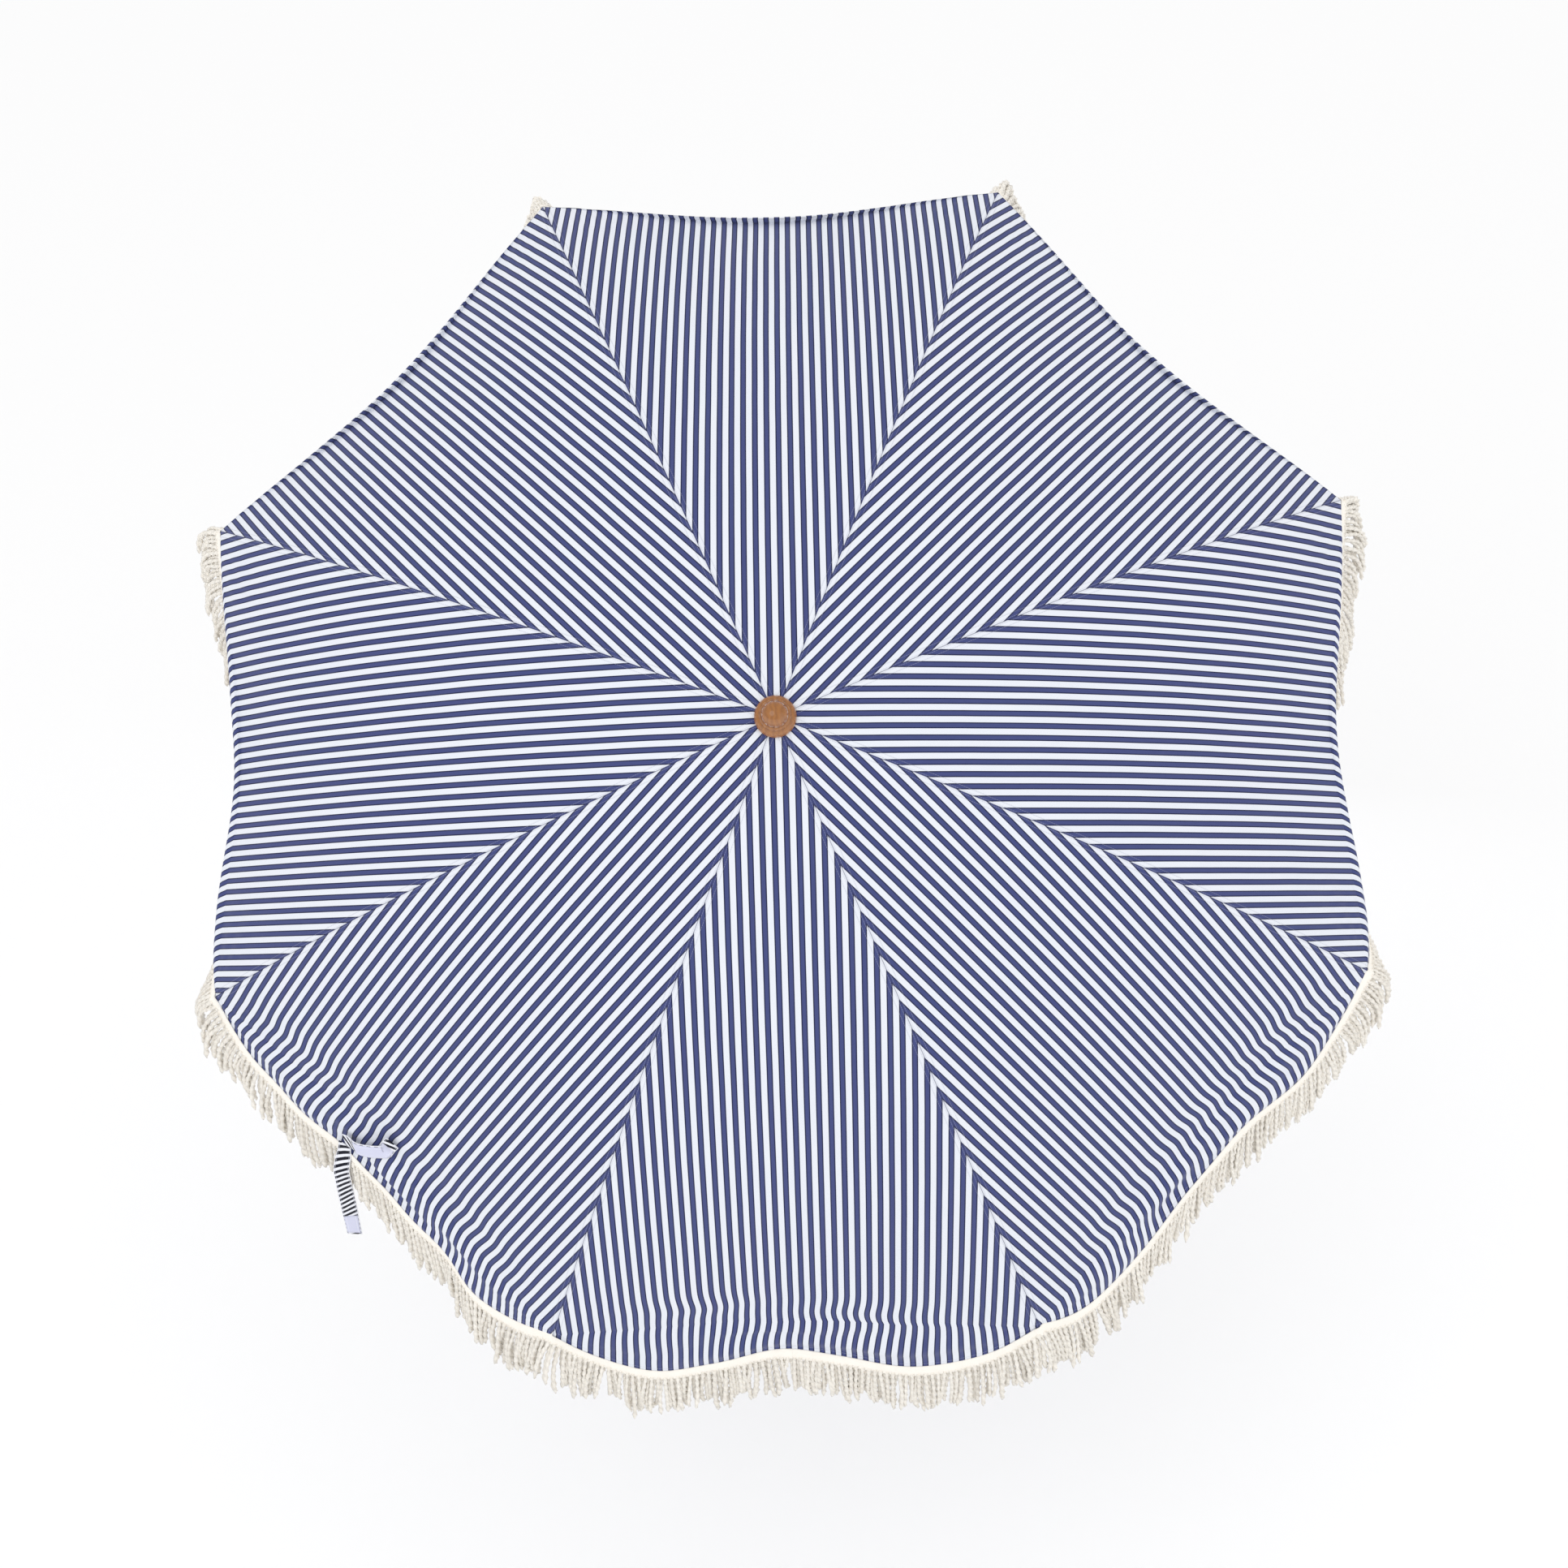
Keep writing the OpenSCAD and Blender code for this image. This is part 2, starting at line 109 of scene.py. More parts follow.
# ---------- the mast's frame, from the joints ----------
joint_of = {j["name"]: j for j in frame["joints"]}
rib_joints = ["canopy_fold"] + [f"rib_{i}_fold" for i in range(2, RIBS + 1)]
rib_hinges = [Vector(joint_of[name]["pos_m"]) for name in rib_joints]
hub = sum(rib_hinges, Vector()) / RIBS
tilt_hinge = Vector(joint_of["canopy_tilt"]["pos_m"])
HINGE_R = (rib_hinges[0] - hub).length
TILT = math.atan2(tilt_hinge.y - hub.y, hub.z - tilt_hinge.z)
MAST = Matrix.Translation(hub) @ Matrix.Rotation(TILT, 4, "X")
MAST_TURN = np.array(MAST.to_3x3())
MAST_AT = np.array(hub)
DOWN = np.array([0, -math.sin(TILT), -math.cos(TILT)])

CHORD = math.hypot(CANOPY_R - HINGE_R, CANOPY_RISE)
ARC_R = CHORD**2 / (8 * RIB_BOW) + RIB_BOW / 2
ARC_ANGLE = 2 * math.asin(CHORD / 2 / ARC_R)
START_SLOPE = math.atan2(CANOPY_RISE, CANOPY_R - HINGE_R) - ARC_ANGLE / 2
ARC_X = HINGE_R - ARC_R * math.sin(START_SLOPE)
ARC_Z = -ARC_R * math.cos(START_SLOPE)


def world(points):
    """Points of the mast's frame in the frame's own axes."""
    return np.asarray(points) @ MAST_TURN.T + MAST_AT


def smooth(x):
    """0 below 0, 1 above 1, and an even turn between."""
    x = np.clip(x, 0, 1)
    return x * x * (3 - 2 * x)


def unit(v):
    return v / np.maximum(np.linalg.norm(v, axis=-1, keepdims=True), 1e-12)


def spread(heading, x, z):
    """Directions or points of a heading: x outwards and z along the mast."""
    return np.stack(np.broadcast_arrays(x * np.cos(heading), x * np.sin(heading), z), -1)


# ---------- meshes ----------
def make_piece(name, points, faces, body, materials, corner_uvs=None, point_uvs=None, corner_normals=None):
    """A smooth mesh piece that rides on a body.

    faces holds arrays of faces, each with one number of corners.
    """
    mesh = bpy.data.meshes.new(name)
    mesh.from_pydata(np.asarray(points).tolist(), [], [face for group in faces for face in group.tolist()])
    corners = np.concatenate([group.ravel() for group in faces])
    uvs = dict(corner_uvs or {})
    for uv_name, coordinates in (point_uvs or {}).items():
        uvs[uv_name] = coordinates[corners]
    for uv_name, coordinates in uvs.items():
        layer = mesh.uv_layers.new(name=uv_name)
        layer.data.foreach_set("uv", np.asarray(coordinates, np.float32).ravel())
    for material in materials:
        mesh.materials.append(material)
    mesh.polygons.foreach_set("use_smooth", [True] * len(mesh.polygons))
    mesh.update()
    if corner_normals is not None:
        mesh.normals_split_custom_set(corner_normals.reshape(-1, 3).tolist())
    piece = bpy.data.objects.new(name, mesh)
    bpy.context.scene.collection.objects.link(piece)
    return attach(piece, body)


def grid_quads(rows, columns, first=0, flip=False):
    """The quads of a grid of points stored row by row, as an array of shape (rows - 1, columns - 1, 4)."""
    index = first + np.arange(rows * columns).reshape(rows, columns)
    quads = np.stack([index[:-1, :-1], index[1:, :-1], index[1:, 1:], index[:-1, 1:]], -1)
    return quads[..., ::-1] if flip else quads


# ---------- the cloth's shape ----------
# g is a gore, w runs across it from its first rib (-1) to its second (1), and v runs from the hub (0) to the
# taut edge (1) and on down the hanging hem (2)
CLOTH_T = 0.0009
CLOTH_INNER_R = 0.0262
HEM_MIN = 0.05
HEM_FOLD = 0.012
HEM_FOLD_T = 0.0007
SAG_TOP = 0.018
SAG_BOTTOM = 0.006
TAUT_WAVE_H = 0.0008
RIDGE_WAVE_H = 0.0020
HEM_WAVE_H = 0.0034
# fine pleats that fan out from each rib's tip: how many, how high, how far from it and how long
PLEATS = 13
PLEAT_H = 0.0006
PLEATS_AT = 0.08
PLEATS_LONG = 0.05
# gathers and sways of a low gore's hem: place and width across the gore, height v, and how far along the hem
GATHERS = {5: ((-0.62, 0.30, 0.955, 0.0065), (-0.05, 0.28, 0.975, -0.0040), (0.55, 0.25, 0.960, 0.0035)),
           6: ((-0.45, 0.22, 0.960, 0.0050), (0.30, 0.30, 0.985, -0.0045)),
           7: ((0.66, 0.24, 0.950, -0.0065), (0.05, 0.30, 0.975, 0.0040), (-0.50, 0.22, 0.960, -0.0030))}
GATHER_TALL = 0.022
HEM_SWAYS = {5: ((-0.55, 0.30, -0.0060), (0.35, 0.30, 0.0070)),
             6: ((-0.62, 0.20, 0.0080), (-0.20, 0.20, -0.0070), (0.42, 0.34, -0.0140)),
             7: ((-0.40, 0.30, -0.0070), (0.45, 0.30, 0.0080))}
GORE_HALF_W = CANOPY_R * math.sin(HALF)
INNER_AT = math.asin((CLOTH_INNER_R - ARC_X) / (ARC_R + CLOTH_GAP)) - START_SLOPE


def hem_at(g, w):
    """The angle along the rib's arc at which the taut cloth ends.

    The cloth is cut deeper where it isn't pulled down.
    """
    low = smooth(-np.sin(g * STEP + w * HALF))
    scallop = HEM_SCALLOP_HIGH + (HEM_SCALLOP - HEM_SCALLOP_HIGH) * low
    return ARC_ANGLE + (HEM_REACH - scallop * (1 + np.cos(np.pi * w)) / 2) / ARC_R


def hem_drop(g, w):
    """How long the hem hangs: least on a rib, and most on the lowest gore.

    Across a gore it is longest a quarter of the way in, and a little shorter in the middle.
    """
    facing_down = -np.sin(g * STEP + w * HALF)
    lowest = smooth((facing_down - 0.80) / 0.18)
    u = 1 - np.abs(w)
    start = HANG_EASE**HANG_STEEP
    edge = (np.sin(np.pi * np.clip(u, 0, 0.5)) ** 2 + HANG_EASE) ** HANG_STEEP - start
    edge = edge / ((1 + HANG_EASE) ** HANG_STEEP - start)
    dip = 1 - HANG_MIDDLE + (HANG_MIDDLE - HANG_LOWEST_MIDDLE) * lowest
    middle = 1 - dip * (1 - np.cos(2 * np.pi * u - np.pi)) / 2
    longer = 1 + HANG_LOW * smooth(facing_down) + HANG_LOWEST * lowest
    return HEM_HANG * longer * (HEM_MIN + (1 - HEM_MIN) * np.where(u < 0.5, edge, middle))


def flatness(w):
    """Panels are flat between two ribs, so their middle lies nearer the axis than the ribs do."""
    return math.cos(HALF) / np.cos(w * HALF)


def lean_at(heading):
    """The share of the hem that leans out before it hangs: most on the low side's steep panels."""
    return HANG_LEAN_HIGH + (HANG_LEAN - HANG_LEAN_HIGH) * smooth(-HANG_LEAN_RISE * np.sin(heading))


def plain_cloth(g, w, v):
    """The cloth without its sag and folds."""
    heading = g * STEP + w * HALF
    a = INNER_AT + np.minimum(v, 1) * (hem_at(g, w) - INNER_AT)
    r = ARC_X + ARC_R * np.sin(START_SLOPE + a)
    off = CLOTH_GAP + CROWN_BUMP * np.clip(1 - (r - CROWN_FROM_R) / CROWN_FADE, 0, 1) ** 2
    off = off - CROWN_DIP * smooth((CROWN_DIP_R - r) / CROWN_DIP_EDGE)
    x = ARC_X + (ARC_R + off) * np.sin(START_SLOPE + a)
    z = ARC_Z + (ARC_R + off) * np.cos(START_SLOPE + a)
    slope = START_SLOPE + hem_at(g, w)
    out = spread(heading, np.cos(slope) * flatness(w), -np.sin(slope))
    t = np.maximum(v - 1, 0)
    lean = lean_at(heading)
    lean = (lean * (1 - np.abs(1 - t) ** (1 / lean)))[..., None]
    hanging = hem_drop(g, w)[..., None] * (out * lean + DOWN * (t[..., None] - lean))
    return spread(heading, x * flatness(w), z) + hanging


def plain_normal(g, w, v):
    """The plain cloth's outer side."""
    dw, dv = 1e-4, 1e-4
    across = plain_cloth(g, w + dw, v) - plain_cloth(g, w - dw, v)
    along = plain_cloth(g, w, v + dv) - plain_cloth(g, w, v - dv)
    return unit(np.cross(along, across))


def waves(seed, count, shortest, longest, x, y):
    """A random-looking relief of about unit height, made of sine waves between two lengths."""
    rng = np.random.default_rng(seed)
    total = 0
    for _ in range(count):
        turn, start = rng.uniform(0, 2 * np.pi, 2)
        length = rng.uniform(shortest, longest)
        total = total + np.sin(2 * np.pi / length * (x * np.cos(turn) + y * np.sin(turn)) + start)
    return total / math.sqrt(count)


def relief(g, w, v):
    """How far the cloth of gore g stands out from its plain shape, along its outer side."""
    g = g % RIBS
    share = np.minimum(v, 1)
    across = w * GORE_HALF_W * share
    along = v * CANOPY_R
    middle = np.clip(1 - w * w, 0, 1)
    facing_up = (1 + math.sin(g * STEP)) / 2
    low = smooth((0.4 - facing_up) / 0.3)
    taut = smooth((1.25 - v) / 0.3)
    loose = smooth((v - 1.0) / 0.7)
    out = -(SAG_BOTTOM + (SAG_TOP - SAG_BOTTOM) * facing_up) * middle * share**1.6 * taut
    out = out + TAUT_WAVE_H * middle**0.5 * smooth(v / 0.3) * waves(10 + g, 9, 0.14, 0.35, across, along)
    for side in (-1, 1):
        dx = (1 - side * w) * GORE_HALF_W * share
        dy = (1 - v) * CANOPY_R
        ring = np.exp(-(((np.hypot(dx, dy) - PLEATS_AT) / PLEATS_LONG) ** 2))
        pleats = np.sin(PLEATS * np.arctan2(dy, dx + 1e-6) + g) * ring
        out = out + PLEAT_H * pleats * smooth(dx / 0.04) * taut
    ridge = np.exp(-(((v - 0.97) / 0.025) ** 2))
    out = out + low * RIDGE_WAVE_H * ridge * middle * waves(30 + g, 5, 0.10, 0.22, across, along * 0.4)
    return out + HEM_WAVE_H * loose * middle**0.7 * waves(50 + g, 6, 0.10, 0.24, across, along * 0.3)


def sway(g, w, v):
    """How far the cloth is drawn along the hem: gathers at the low gores' ridge, and a swaying hem."""
    g = g % RIBS
    middle = np.clip(1 - w * w, 0, 1)
    total = np.zeros(np.broadcast(w, v).shape)
    for place, width, at, far in GATHERS.get(g, ()):
        total = total + far * np.exp(-(((w - place) / width) ** 2) - ((v - at) / GATHER_TALL) ** 2)
    for place, width, far in HEM_SWAYS.get(g, ()):
        total = total + far * np.exp(-(((w - place) / width) ** 2)) * smooth((v - 0.98) / 0.7)
    return total * middle**0.5


def finished_cloth(g, w, v):
    """The middle of the cloth's thickness, with its sag and folds."""
    along_hem = spread(g * STEP + w * HALF + math.pi / 2, 1.0, 0.0)
    return (plain_cloth(g, w, v) + plain_normal(g, w, v) * relief(g, w, v)[..., None]
            + along_hem * sway(g, w, v)[..., None])


def sector_grid(i, us, vs):
    """The finished cloth's points: one row for each u, which runs around rib i from one gore's middle (-1)
    to the next one's (1), and one column for each v."""
    first = us < 0
    halves = []
    for gore, ws in ((i - 1, us[first] + 1), (i, us[~first] - 1)):
        w, v = np.meshgrid(ws, vs, indexing="ij")
        halves.append(finished_cloth(gore, w, v))
    return np.concatenate(halves)


def grid_normals(points):
    """The outer side at each point of a sector's grid, the same on both sides of a seam."""
    return unit(np.cross(np.gradient(points, axis=1), np.gradient(points, axis=0)))


def with_ghosts(us):
    """us with one more step at each end, so that neighbours meet with the same slope."""
    return np.concatenate([[2 * us[0] - us[1]], us, [2 * us[-1] - us[-2]]])


# ---------- canopy ----------
STRIPE = 0.0159
# how far each gore's stripes are off its middle line, in stripes, as the gores were cut from the bolt
STRIPE_STARTS = (-0.29, 0.44, -0.15, -0.25, -0.20, -0.10, 0.20, -0.24)
CLOTH_COLUMNS = 96
TAUT_ROWS = 84
HANG_ROWS = 14
CROWN_ROWS = (0.003, 0.007, 0.012, 0.018, 0.026, 0.034)
HEM_FOLD_STEP = 0.01


def cloth_rows():
    """v for each row: closer together towards the hub and the hem, with two rows for the hem's fold."""
    taut = np.sin(np.linspace(0, 1, TAUT_ROWS + 1) * np.pi / 2) ** 0.8
    hang = 1 + np.linspace(0, 1, HANG_ROWS + 1)[1:]
    fold = 2 - HEM_FOLD / HEM_HANG
    return np.sort(np.concatenate([taut, CROWN_ROWS, hang, [fold, fold - HEM_FOLD_STEP]]))


def cut_place(g, w, v):
    """A point's place in a gore's flat cloth: offset from the middle line and distance from the hub."""
    a = INNER_AT + np.minimum(v, 1) * (hem_at(g, w) - INNER_AT)
    r = (ARC_X + ARC_R * np.sin(START_SLOPE + a)) * flatness(w)
    return np.stack([r * np.sin(w * HALF), a * ARC_R + np.maximum(v - 1, 0) * hem_drop(g, w)], -1)


def edge_place(g, w, v):
    """A point's distance in the cloth from its seam, and from the hem's edge."""
    cut = cut_place(g, w, v)
    half_width = np.abs(cut_place(g, np.ones_like(w), np.minimum(v, 1))[..., 0])
    hem = cut_place(g, w, np.full_like(v, 2))[..., 1]
    return np.stack([half_width - np.abs(cut[..., 0]), hem - cut[..., 1]], -1)


def make_canopy(i, material):
    """The cloth from the middle of one gore over rib i to the middle of the next, as a closed thin shell."""
    us = np.linspace(-1, 1, CLOTH_COLUMNS + 1)
    vs = cloth_rows()
    grid = sector_grid(i, with_ghosts(us), vs)
    side = grid_normals(grid)[1:-1]
    grid = grid[1:-1]
    n, m = grid.shape[:2]
    hem = smooth((vs - (2 - HEM_FOLD / HEM_HANG)) / HEM_FOLD_STEP)
    thick = (CLOTH_T + HEM_FOLD_T * hem)[None, :, None]
    skins = [grid + side * thick / 2, grid - side * thick / 2]
    points = np.concatenate([skin.reshape(-1, 3) for skin in skins])
    outer = grid_quads(n, m, flip=True)
    inner = grid_quads(n, m, first=n * m)
    index = np.arange(n * m).reshape(n, m)
    rims = []
    for line, forward in ((index[0], 0), (index[-1], 1), (index[:, 0], 1), (index[:, -1], 0)):
        a, b = (line[:-1], line[1:]) if forward else (line[1:], line[:-1])
        rims.append(np.stack([a, b, b + n * m, a + n * m], -1))
    rims = np.concatenate(rims)
    faces = np.concatenate([outer.reshape(-1, 4), inner.reshape(-1, 4), rims])

    # each corner's place in the cut cloth: a face takes the gore that it lies in, also along the seam
    half = n // 2
    places = {}
    for name, place in (("Cut", cut_place), ("Edge", edge_place)):
        left_w = np.clip(us + 1, 0, 1)
        right_w = np.clip(us - 1, -1, 0)
        left = place(i - 1, *np.meshgrid(left_w, vs, indexing="ij")).reshape(-1, 2)
        right = place(i, *np.meshgrid(right_w, vs, indexing="ij")).reshape(-1, 2)
        if name == "Cut":
            left = left - [STRIPE * STRIPE_STARTS[(i - 1) % RIBS], 0]
            right = right - [STRIPE * STRIPE_STARTS[i % RIBS], 0]
        corner = faces % (n * m)
        in_left = (corner // m).min(axis=1) < half
        places[name] = np.where(in_left[:, None, None], left[corner], right[corner])
    normal = np.concatenate([side.reshape(-1, 3), -side.reshape(-1, 3)])
    normal = unit(normal @ MAST_TURN.T)
    corner_normals = normal[faces]
    rim_points = world(points)[rims]
    rim_side = unit(np.cross(rim_points[:, 2] - rim_points[:, 0], rim_points[:, 3] - rim_points[:, 1]))
    corner_normals[-len(rims):] = rim_side[:, None, :]
    piece = make_piece(f"canopy_cloth_{i}", world(points), [faces], f"rib_{i}", [material],
                       corner_uvs=places, corner_normals=corner_normals)
    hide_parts(f"canopy_{i}")
    return piece


# ---------- fringe ----------
YARN_PITCH = 0.0047
YARN_R = 0.0041
YARN_RINGS = 22
YARN_SIDES = 8
YARN_TURN = 0.015
TAPE_UP = 0.006
TAPE_DOWN = 0.012
TAPE_T = 0.0018
TAPE_STEPS = 6
FALL_STEPS = 60
TIP_FADE = 2.2
TIP_STANDS = 0.25
TIP_BEND = 0.75


def hem_frame(i, us):
    """Along the hem of rib i's cloth: the edge's points, the side facing out, and the way along the hem."""
    vs = np.array([1.97, 2.0])
    grid = sector_grid(i, with_ghosts(us), vs)
    edge = grid[:, 1]
    up = unit(grid[1:-1, 0] - grid[1:-1, 1])
    along = unit(np.gradient(edge, axis=0)[1:-1])
    side = unit(np.cross(along, up))
    outward = spread((i - 0.5) * STEP + us * HALF, 1.0, 0.0)
    side = side * np.sign(np.sum(side * (outward - DOWN), -1))[:, None]
    return edge[1:-1], up, side, along


def fringe_fall(i, us, length):
    """Where the fringe is below the hem after this much of its length: it hangs straight down, but at the rib
    tips it stands out along the rib before it droops."""
    s = np.linspace(0, 1.2 * FRINGE_LEN, FALL_STEPS)
    slope = START_SLOPE + ARC_ANGLE
    out = spread((i - 0.5) * STEP + us * HALF, math.cos(slope), -math.sin(slope))
    tip = (1 - np.abs(us)) ** TIP_FADE
    share = tip[:, None] * (1 - smooth((s / FRINGE_LEN - TIP_STANDS) / TIP_BEND))[None, :]
    way = unit(out[:, None, :] * share[..., None] + DOWN * (1 - share[..., None]))
    fall = np.cumsum(way, axis=1) * (s[1] - s[0])
    place = np.clip(length / s[-1], 0, 1) * (FALL_STEPS - 1)
    low = np.minimum(place.astype(int), FALL_STEPS - 2)
    part = (place - low)[:, None]
    row = np.arange(len(us))
    clear = out * tip[:, None] + DOWN * (1 - tip[:, None])
    return fall[row, low] * (1 - part) + fall[row, low + 1] * part + clear * FRINGE_CLEAR


def even_places(i, pitch):
    """Values of u that are evenly spaced along the hem of rib i's cloth, half a pitch from each end."""
    fine = np.linspace(-1, 1, 601)
    edge = hem_frame(i, fine)[0]
    length = np.concatenate([[0], np.cumsum(np.linalg.norm(np.diff(edge, axis=0), axis=1))])
    count = int(round(length[-1] / pitch))
    return np.interp((np.arange(count) + 0.5) * length[-1] / count, length, fine), length[-1]


def tape_mesh(i, count):
    """The fringe's header: a woven band over the hem's edge, with one knot for each yarn."""
    fine = np.linspace(-1, 1, 601)
    edge = hem_frame(i, fine)[0]
    length = np.concatenate([[0], np.cumsum(np.linalg.norm(np.diff(edge, axis=0), axis=1))])
    knots = np.linspace(0, count, count * TAPE_STEPS + 1)
    us = np.interp(knots / count * length[-1], length, fine)
    edge, up, side, along = hem_frame(i, us)
    knot = np.abs(np.sin(np.pi * knots)) ** 0.7
    # the band's outline: how far down from the hem's edge, how far out, and how much the knots swell it
    outline = [(-0.90, 0.45, 0.0), (-1.00, 0.85, 0.25), (-0.90, 1.25, 0.45), (-0.60, 1.05, 0.15),
               (-0.15, 1.10, 0.1), (0.25, 1.20, 0.25), (0.55, 1.05, 0.1), (0.80, 1.15, 0.45),
               (1.00, 0.95, 0.4), (1.00, -0.50, 0.3), (0.60, -0.75, 0.1), (0.15, -0.70, 0.1),
               (0.10, 0.45, 0.0)]
    rings = []
    for down, out, swell in outline:
        if down > 0:
            place = edge + fringe_fall(i, us, np.full(len(us), down * TAPE_DOWN))
        else:
            place = edge - up * down * TAPE_UP
        lift = TAPE_T * out + TAPE_T * 0.25 * swell * knot * np.sign(out)
        rings.append(place + side * lift[:, None])
    points = np.stack(rings, 1)
    n, m = points.shape[:2]
    index = np.arange(n * m).reshape(n, m)
    index = np.concatenate([index, index[:, :1]], 1)
    quads = np.stack([index[:-1, :-1], index[1:, :-1], index[1:, 1:], index[:-1, 1:]], -1).reshape(-1, 4)
    ends = np.stack([index[0, :-1], index[-1, -2::-1]])
    return points.reshape(-1, 3), quads, ends


def yarn_mesh(i, places, seed):
    """Twisted two-ply yarns that hang from the header, uneven in length and lean and a little clumped."""
    rng = np.random.default_rng(seed)
    count = len(places)
    us = places + rng.normal(0, 0.0011, count)
    edge, up, side, along = hem_frame(i, us)
    clump = waves(seed, 7, 6, 22, np.arange(count), 0)
    swing = waves(seed + 1, 5, 9, 30, np.arange(count), 0)
    lean = 0.06 * clump + rng.normal(0, 0.05, count)
    depth = 0.05 * swing + rng.normal(0, 0.05, count) + 0.03
    curl = rng.normal(0, 0.05, count)
    length = FRINGE_LEN * (1.0 + 0.04 * swing + rng.uniform(-0.13, 0.06, count))
    girth = YARN_R * rng.uniform(0.85, 1.18, count)
    layer = np.where(np.arange(count) % 2 == 0, 0.5, -0.5) * YARN_R
    s = np.linspace(0, 1, YARN_RINGS)
    path = []
    for share in s:
        fall = fringe_fall(i, us, TAPE_DOWN * 0.6 + share * (length - TAPE_DOWN * 0.6))
        far = share**1.3 * length
        aside = along * ((lean * far) + curl * length * np.sin(np.pi * share) * share)[:, None]
        path.append(edge + fall + aside + side * (depth * far + layer)[:, None])
    path = np.stack(path, 1)
    tangent = unit(np.gradient(path, axis=1))
    across = unit(np.cross(tangent, side[:, None, :]))
    front = np.cross(across, tangent)
    end = np.clip((s - 0.86) / 0.14, 0, 1)
    taper = (0.86 + 0.22 * s) * np.sqrt(np.clip(1 - end**2 * 0.93, 0, 1))
    turn = rng.uniform(0, np.pi, count)[:, None] + s[None, :] * length[:, None] / YARN_TURN * np.pi
    rings = []
    for k in range(YARN_SIDES):
        angle = 2 * np.pi * k / YARN_SIDES + turn
        lobe = 0.80 + 0.24 * np.cos(2 * (2 * np.pi * k / YARN_SIDES))
        r = girth[:, None] * taper[None, :] * lobe
        rings.append(path + across * (r * np.cos(angle))[..., None] + front * (r * np.sin(angle))[..., None])
    points = np.stack(rings, 2)
    index = np.arange(points[..., 0].size).reshape(points.shape[:3])
    wrapped = np.concatenate([index, index[:, :, :1]], 2)
    quads = np.stack([wrapped[:, :-1, :-1], wrapped[:, :-1, 1:], wrapped[:, 1:, 1:], wrapped[:, 1:, :-1]], -1)
    ends = np.concatenate([index[:, 0, ::-1], index[:, -1]])
    tone = np.broadcast_to(rng.uniform(0, 1, count)[:, None, None], points.shape[:3])
    share = np.broadcast_to(s[None, :, None], points.shape[:3])
    return points.reshape(-1, 3), quads.reshape(-1, 4), ends, np.stack([tone, share], -1).reshape(-1, 2)


def make_fringe(i, tape_material, yarn_material):
    """The header tape and the yarns that hang along the hem of rib i's cloth."""
    places, hem_length = even_places(i, YARN_PITCH)
    points, quads, ends = tape_mesh(i, len(places))
    flat = np.zeros((len(points), 2))
    tape = make_piece(f"fringe_tape_{i}", world(points), [quads, ends], f"rib_{i}", [tape_material],
                      point_uvs={"Yarn": flat})
    points, quads, ends, tones = yarn_mesh(i, places, seed=100 + 10 * i)
    yarns = make_piece(f"fringe_yarns_{i}", world(points), [quads, ends], f"rib_{i}", [yarn_material],
                       point_uvs={"Yarn": tones})
    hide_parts(f"fringe_{i}")
    return tape, yarns, hem_length


# ---------- tie strap ----------
TIE_W = 0.0240
TIE_T = 0.0016
TIE_DROP = 0.215
TIE_PADS = (0.044, 0.066)
TIE_STEPS = 44
TIE_SEWN_AT = 1.78
TIE_CLEAR_TOP = 0.0075
TIE_CLEAR = 0.024
TIE_LEAN = -0.020
TIE_TURN = -0.65
TIE_LIES_TO = 0.985
TIE_LIFTS = 0.4
TIE_LIES_FROM_V = 1.60
TIE_LIES_TO_V = 0.97
TIE_LIES_OFF = 0.0085
TIE_LIES_OFF_MORE = 0.0035
TIE_ARM_GAP = 0.004
TIE_HEM_STEP = 0.02
TIE_WAVE = 0.14
TIE_WAVE_TURN = 2.6
# a pad's width and thickness, and how far out it is sewn, as shares of the tie's own
TIE_PAD_W = 0.86
TIE_PAD_T = 0.6
TIE_PAD_OFF = 0.75


def ribbon_mesh(path, across, out, width, thick):
    """A closed flat band along a path, with rounded long edges.

    It comes with how far across and along the band each point lies.
    """
    outline = [(-1, 0), (-0.93, 0.5), (-0.5, 0.52), (0, 0.5), (0.5, 0.52), (0.93, 0.5),
               (1, 0), (0.93, -0.5), (0.5, -0.48), (0, -0.5), (-0.5, -0.48), (-0.93, -0.5)]
    rings = [path + across * x * width / 2 + out * y * thick for x, y in outline]
    points = np.stack(rings, 1)
    n, m = points.shape[:2]
    index = np.arange(n * m).reshape(n, m)
    index = np.concatenate([index, index[:, :1]], 1)
    quads = np.stack([index[:-1, :-1], index[:-1, 1:], index[1:, 1:], index[1:, :-1]], -1).reshape(-1, 4)
    ends = np.stack([index[0, -2::-1], index[-1, :-1]])
    length = np.concatenate([[0], np.cumsum(np.linalg.norm(np.diff(path, axis=0), axis=1))])
    wide = np.array([x for x, _ in outline]) * width / 2
    places = np.stack(np.broadcast_arrays(wide[None, :], length[:, None]), -1)
    return points.reshape(-1, 3), quads, ends, places.reshape(-1, 2)


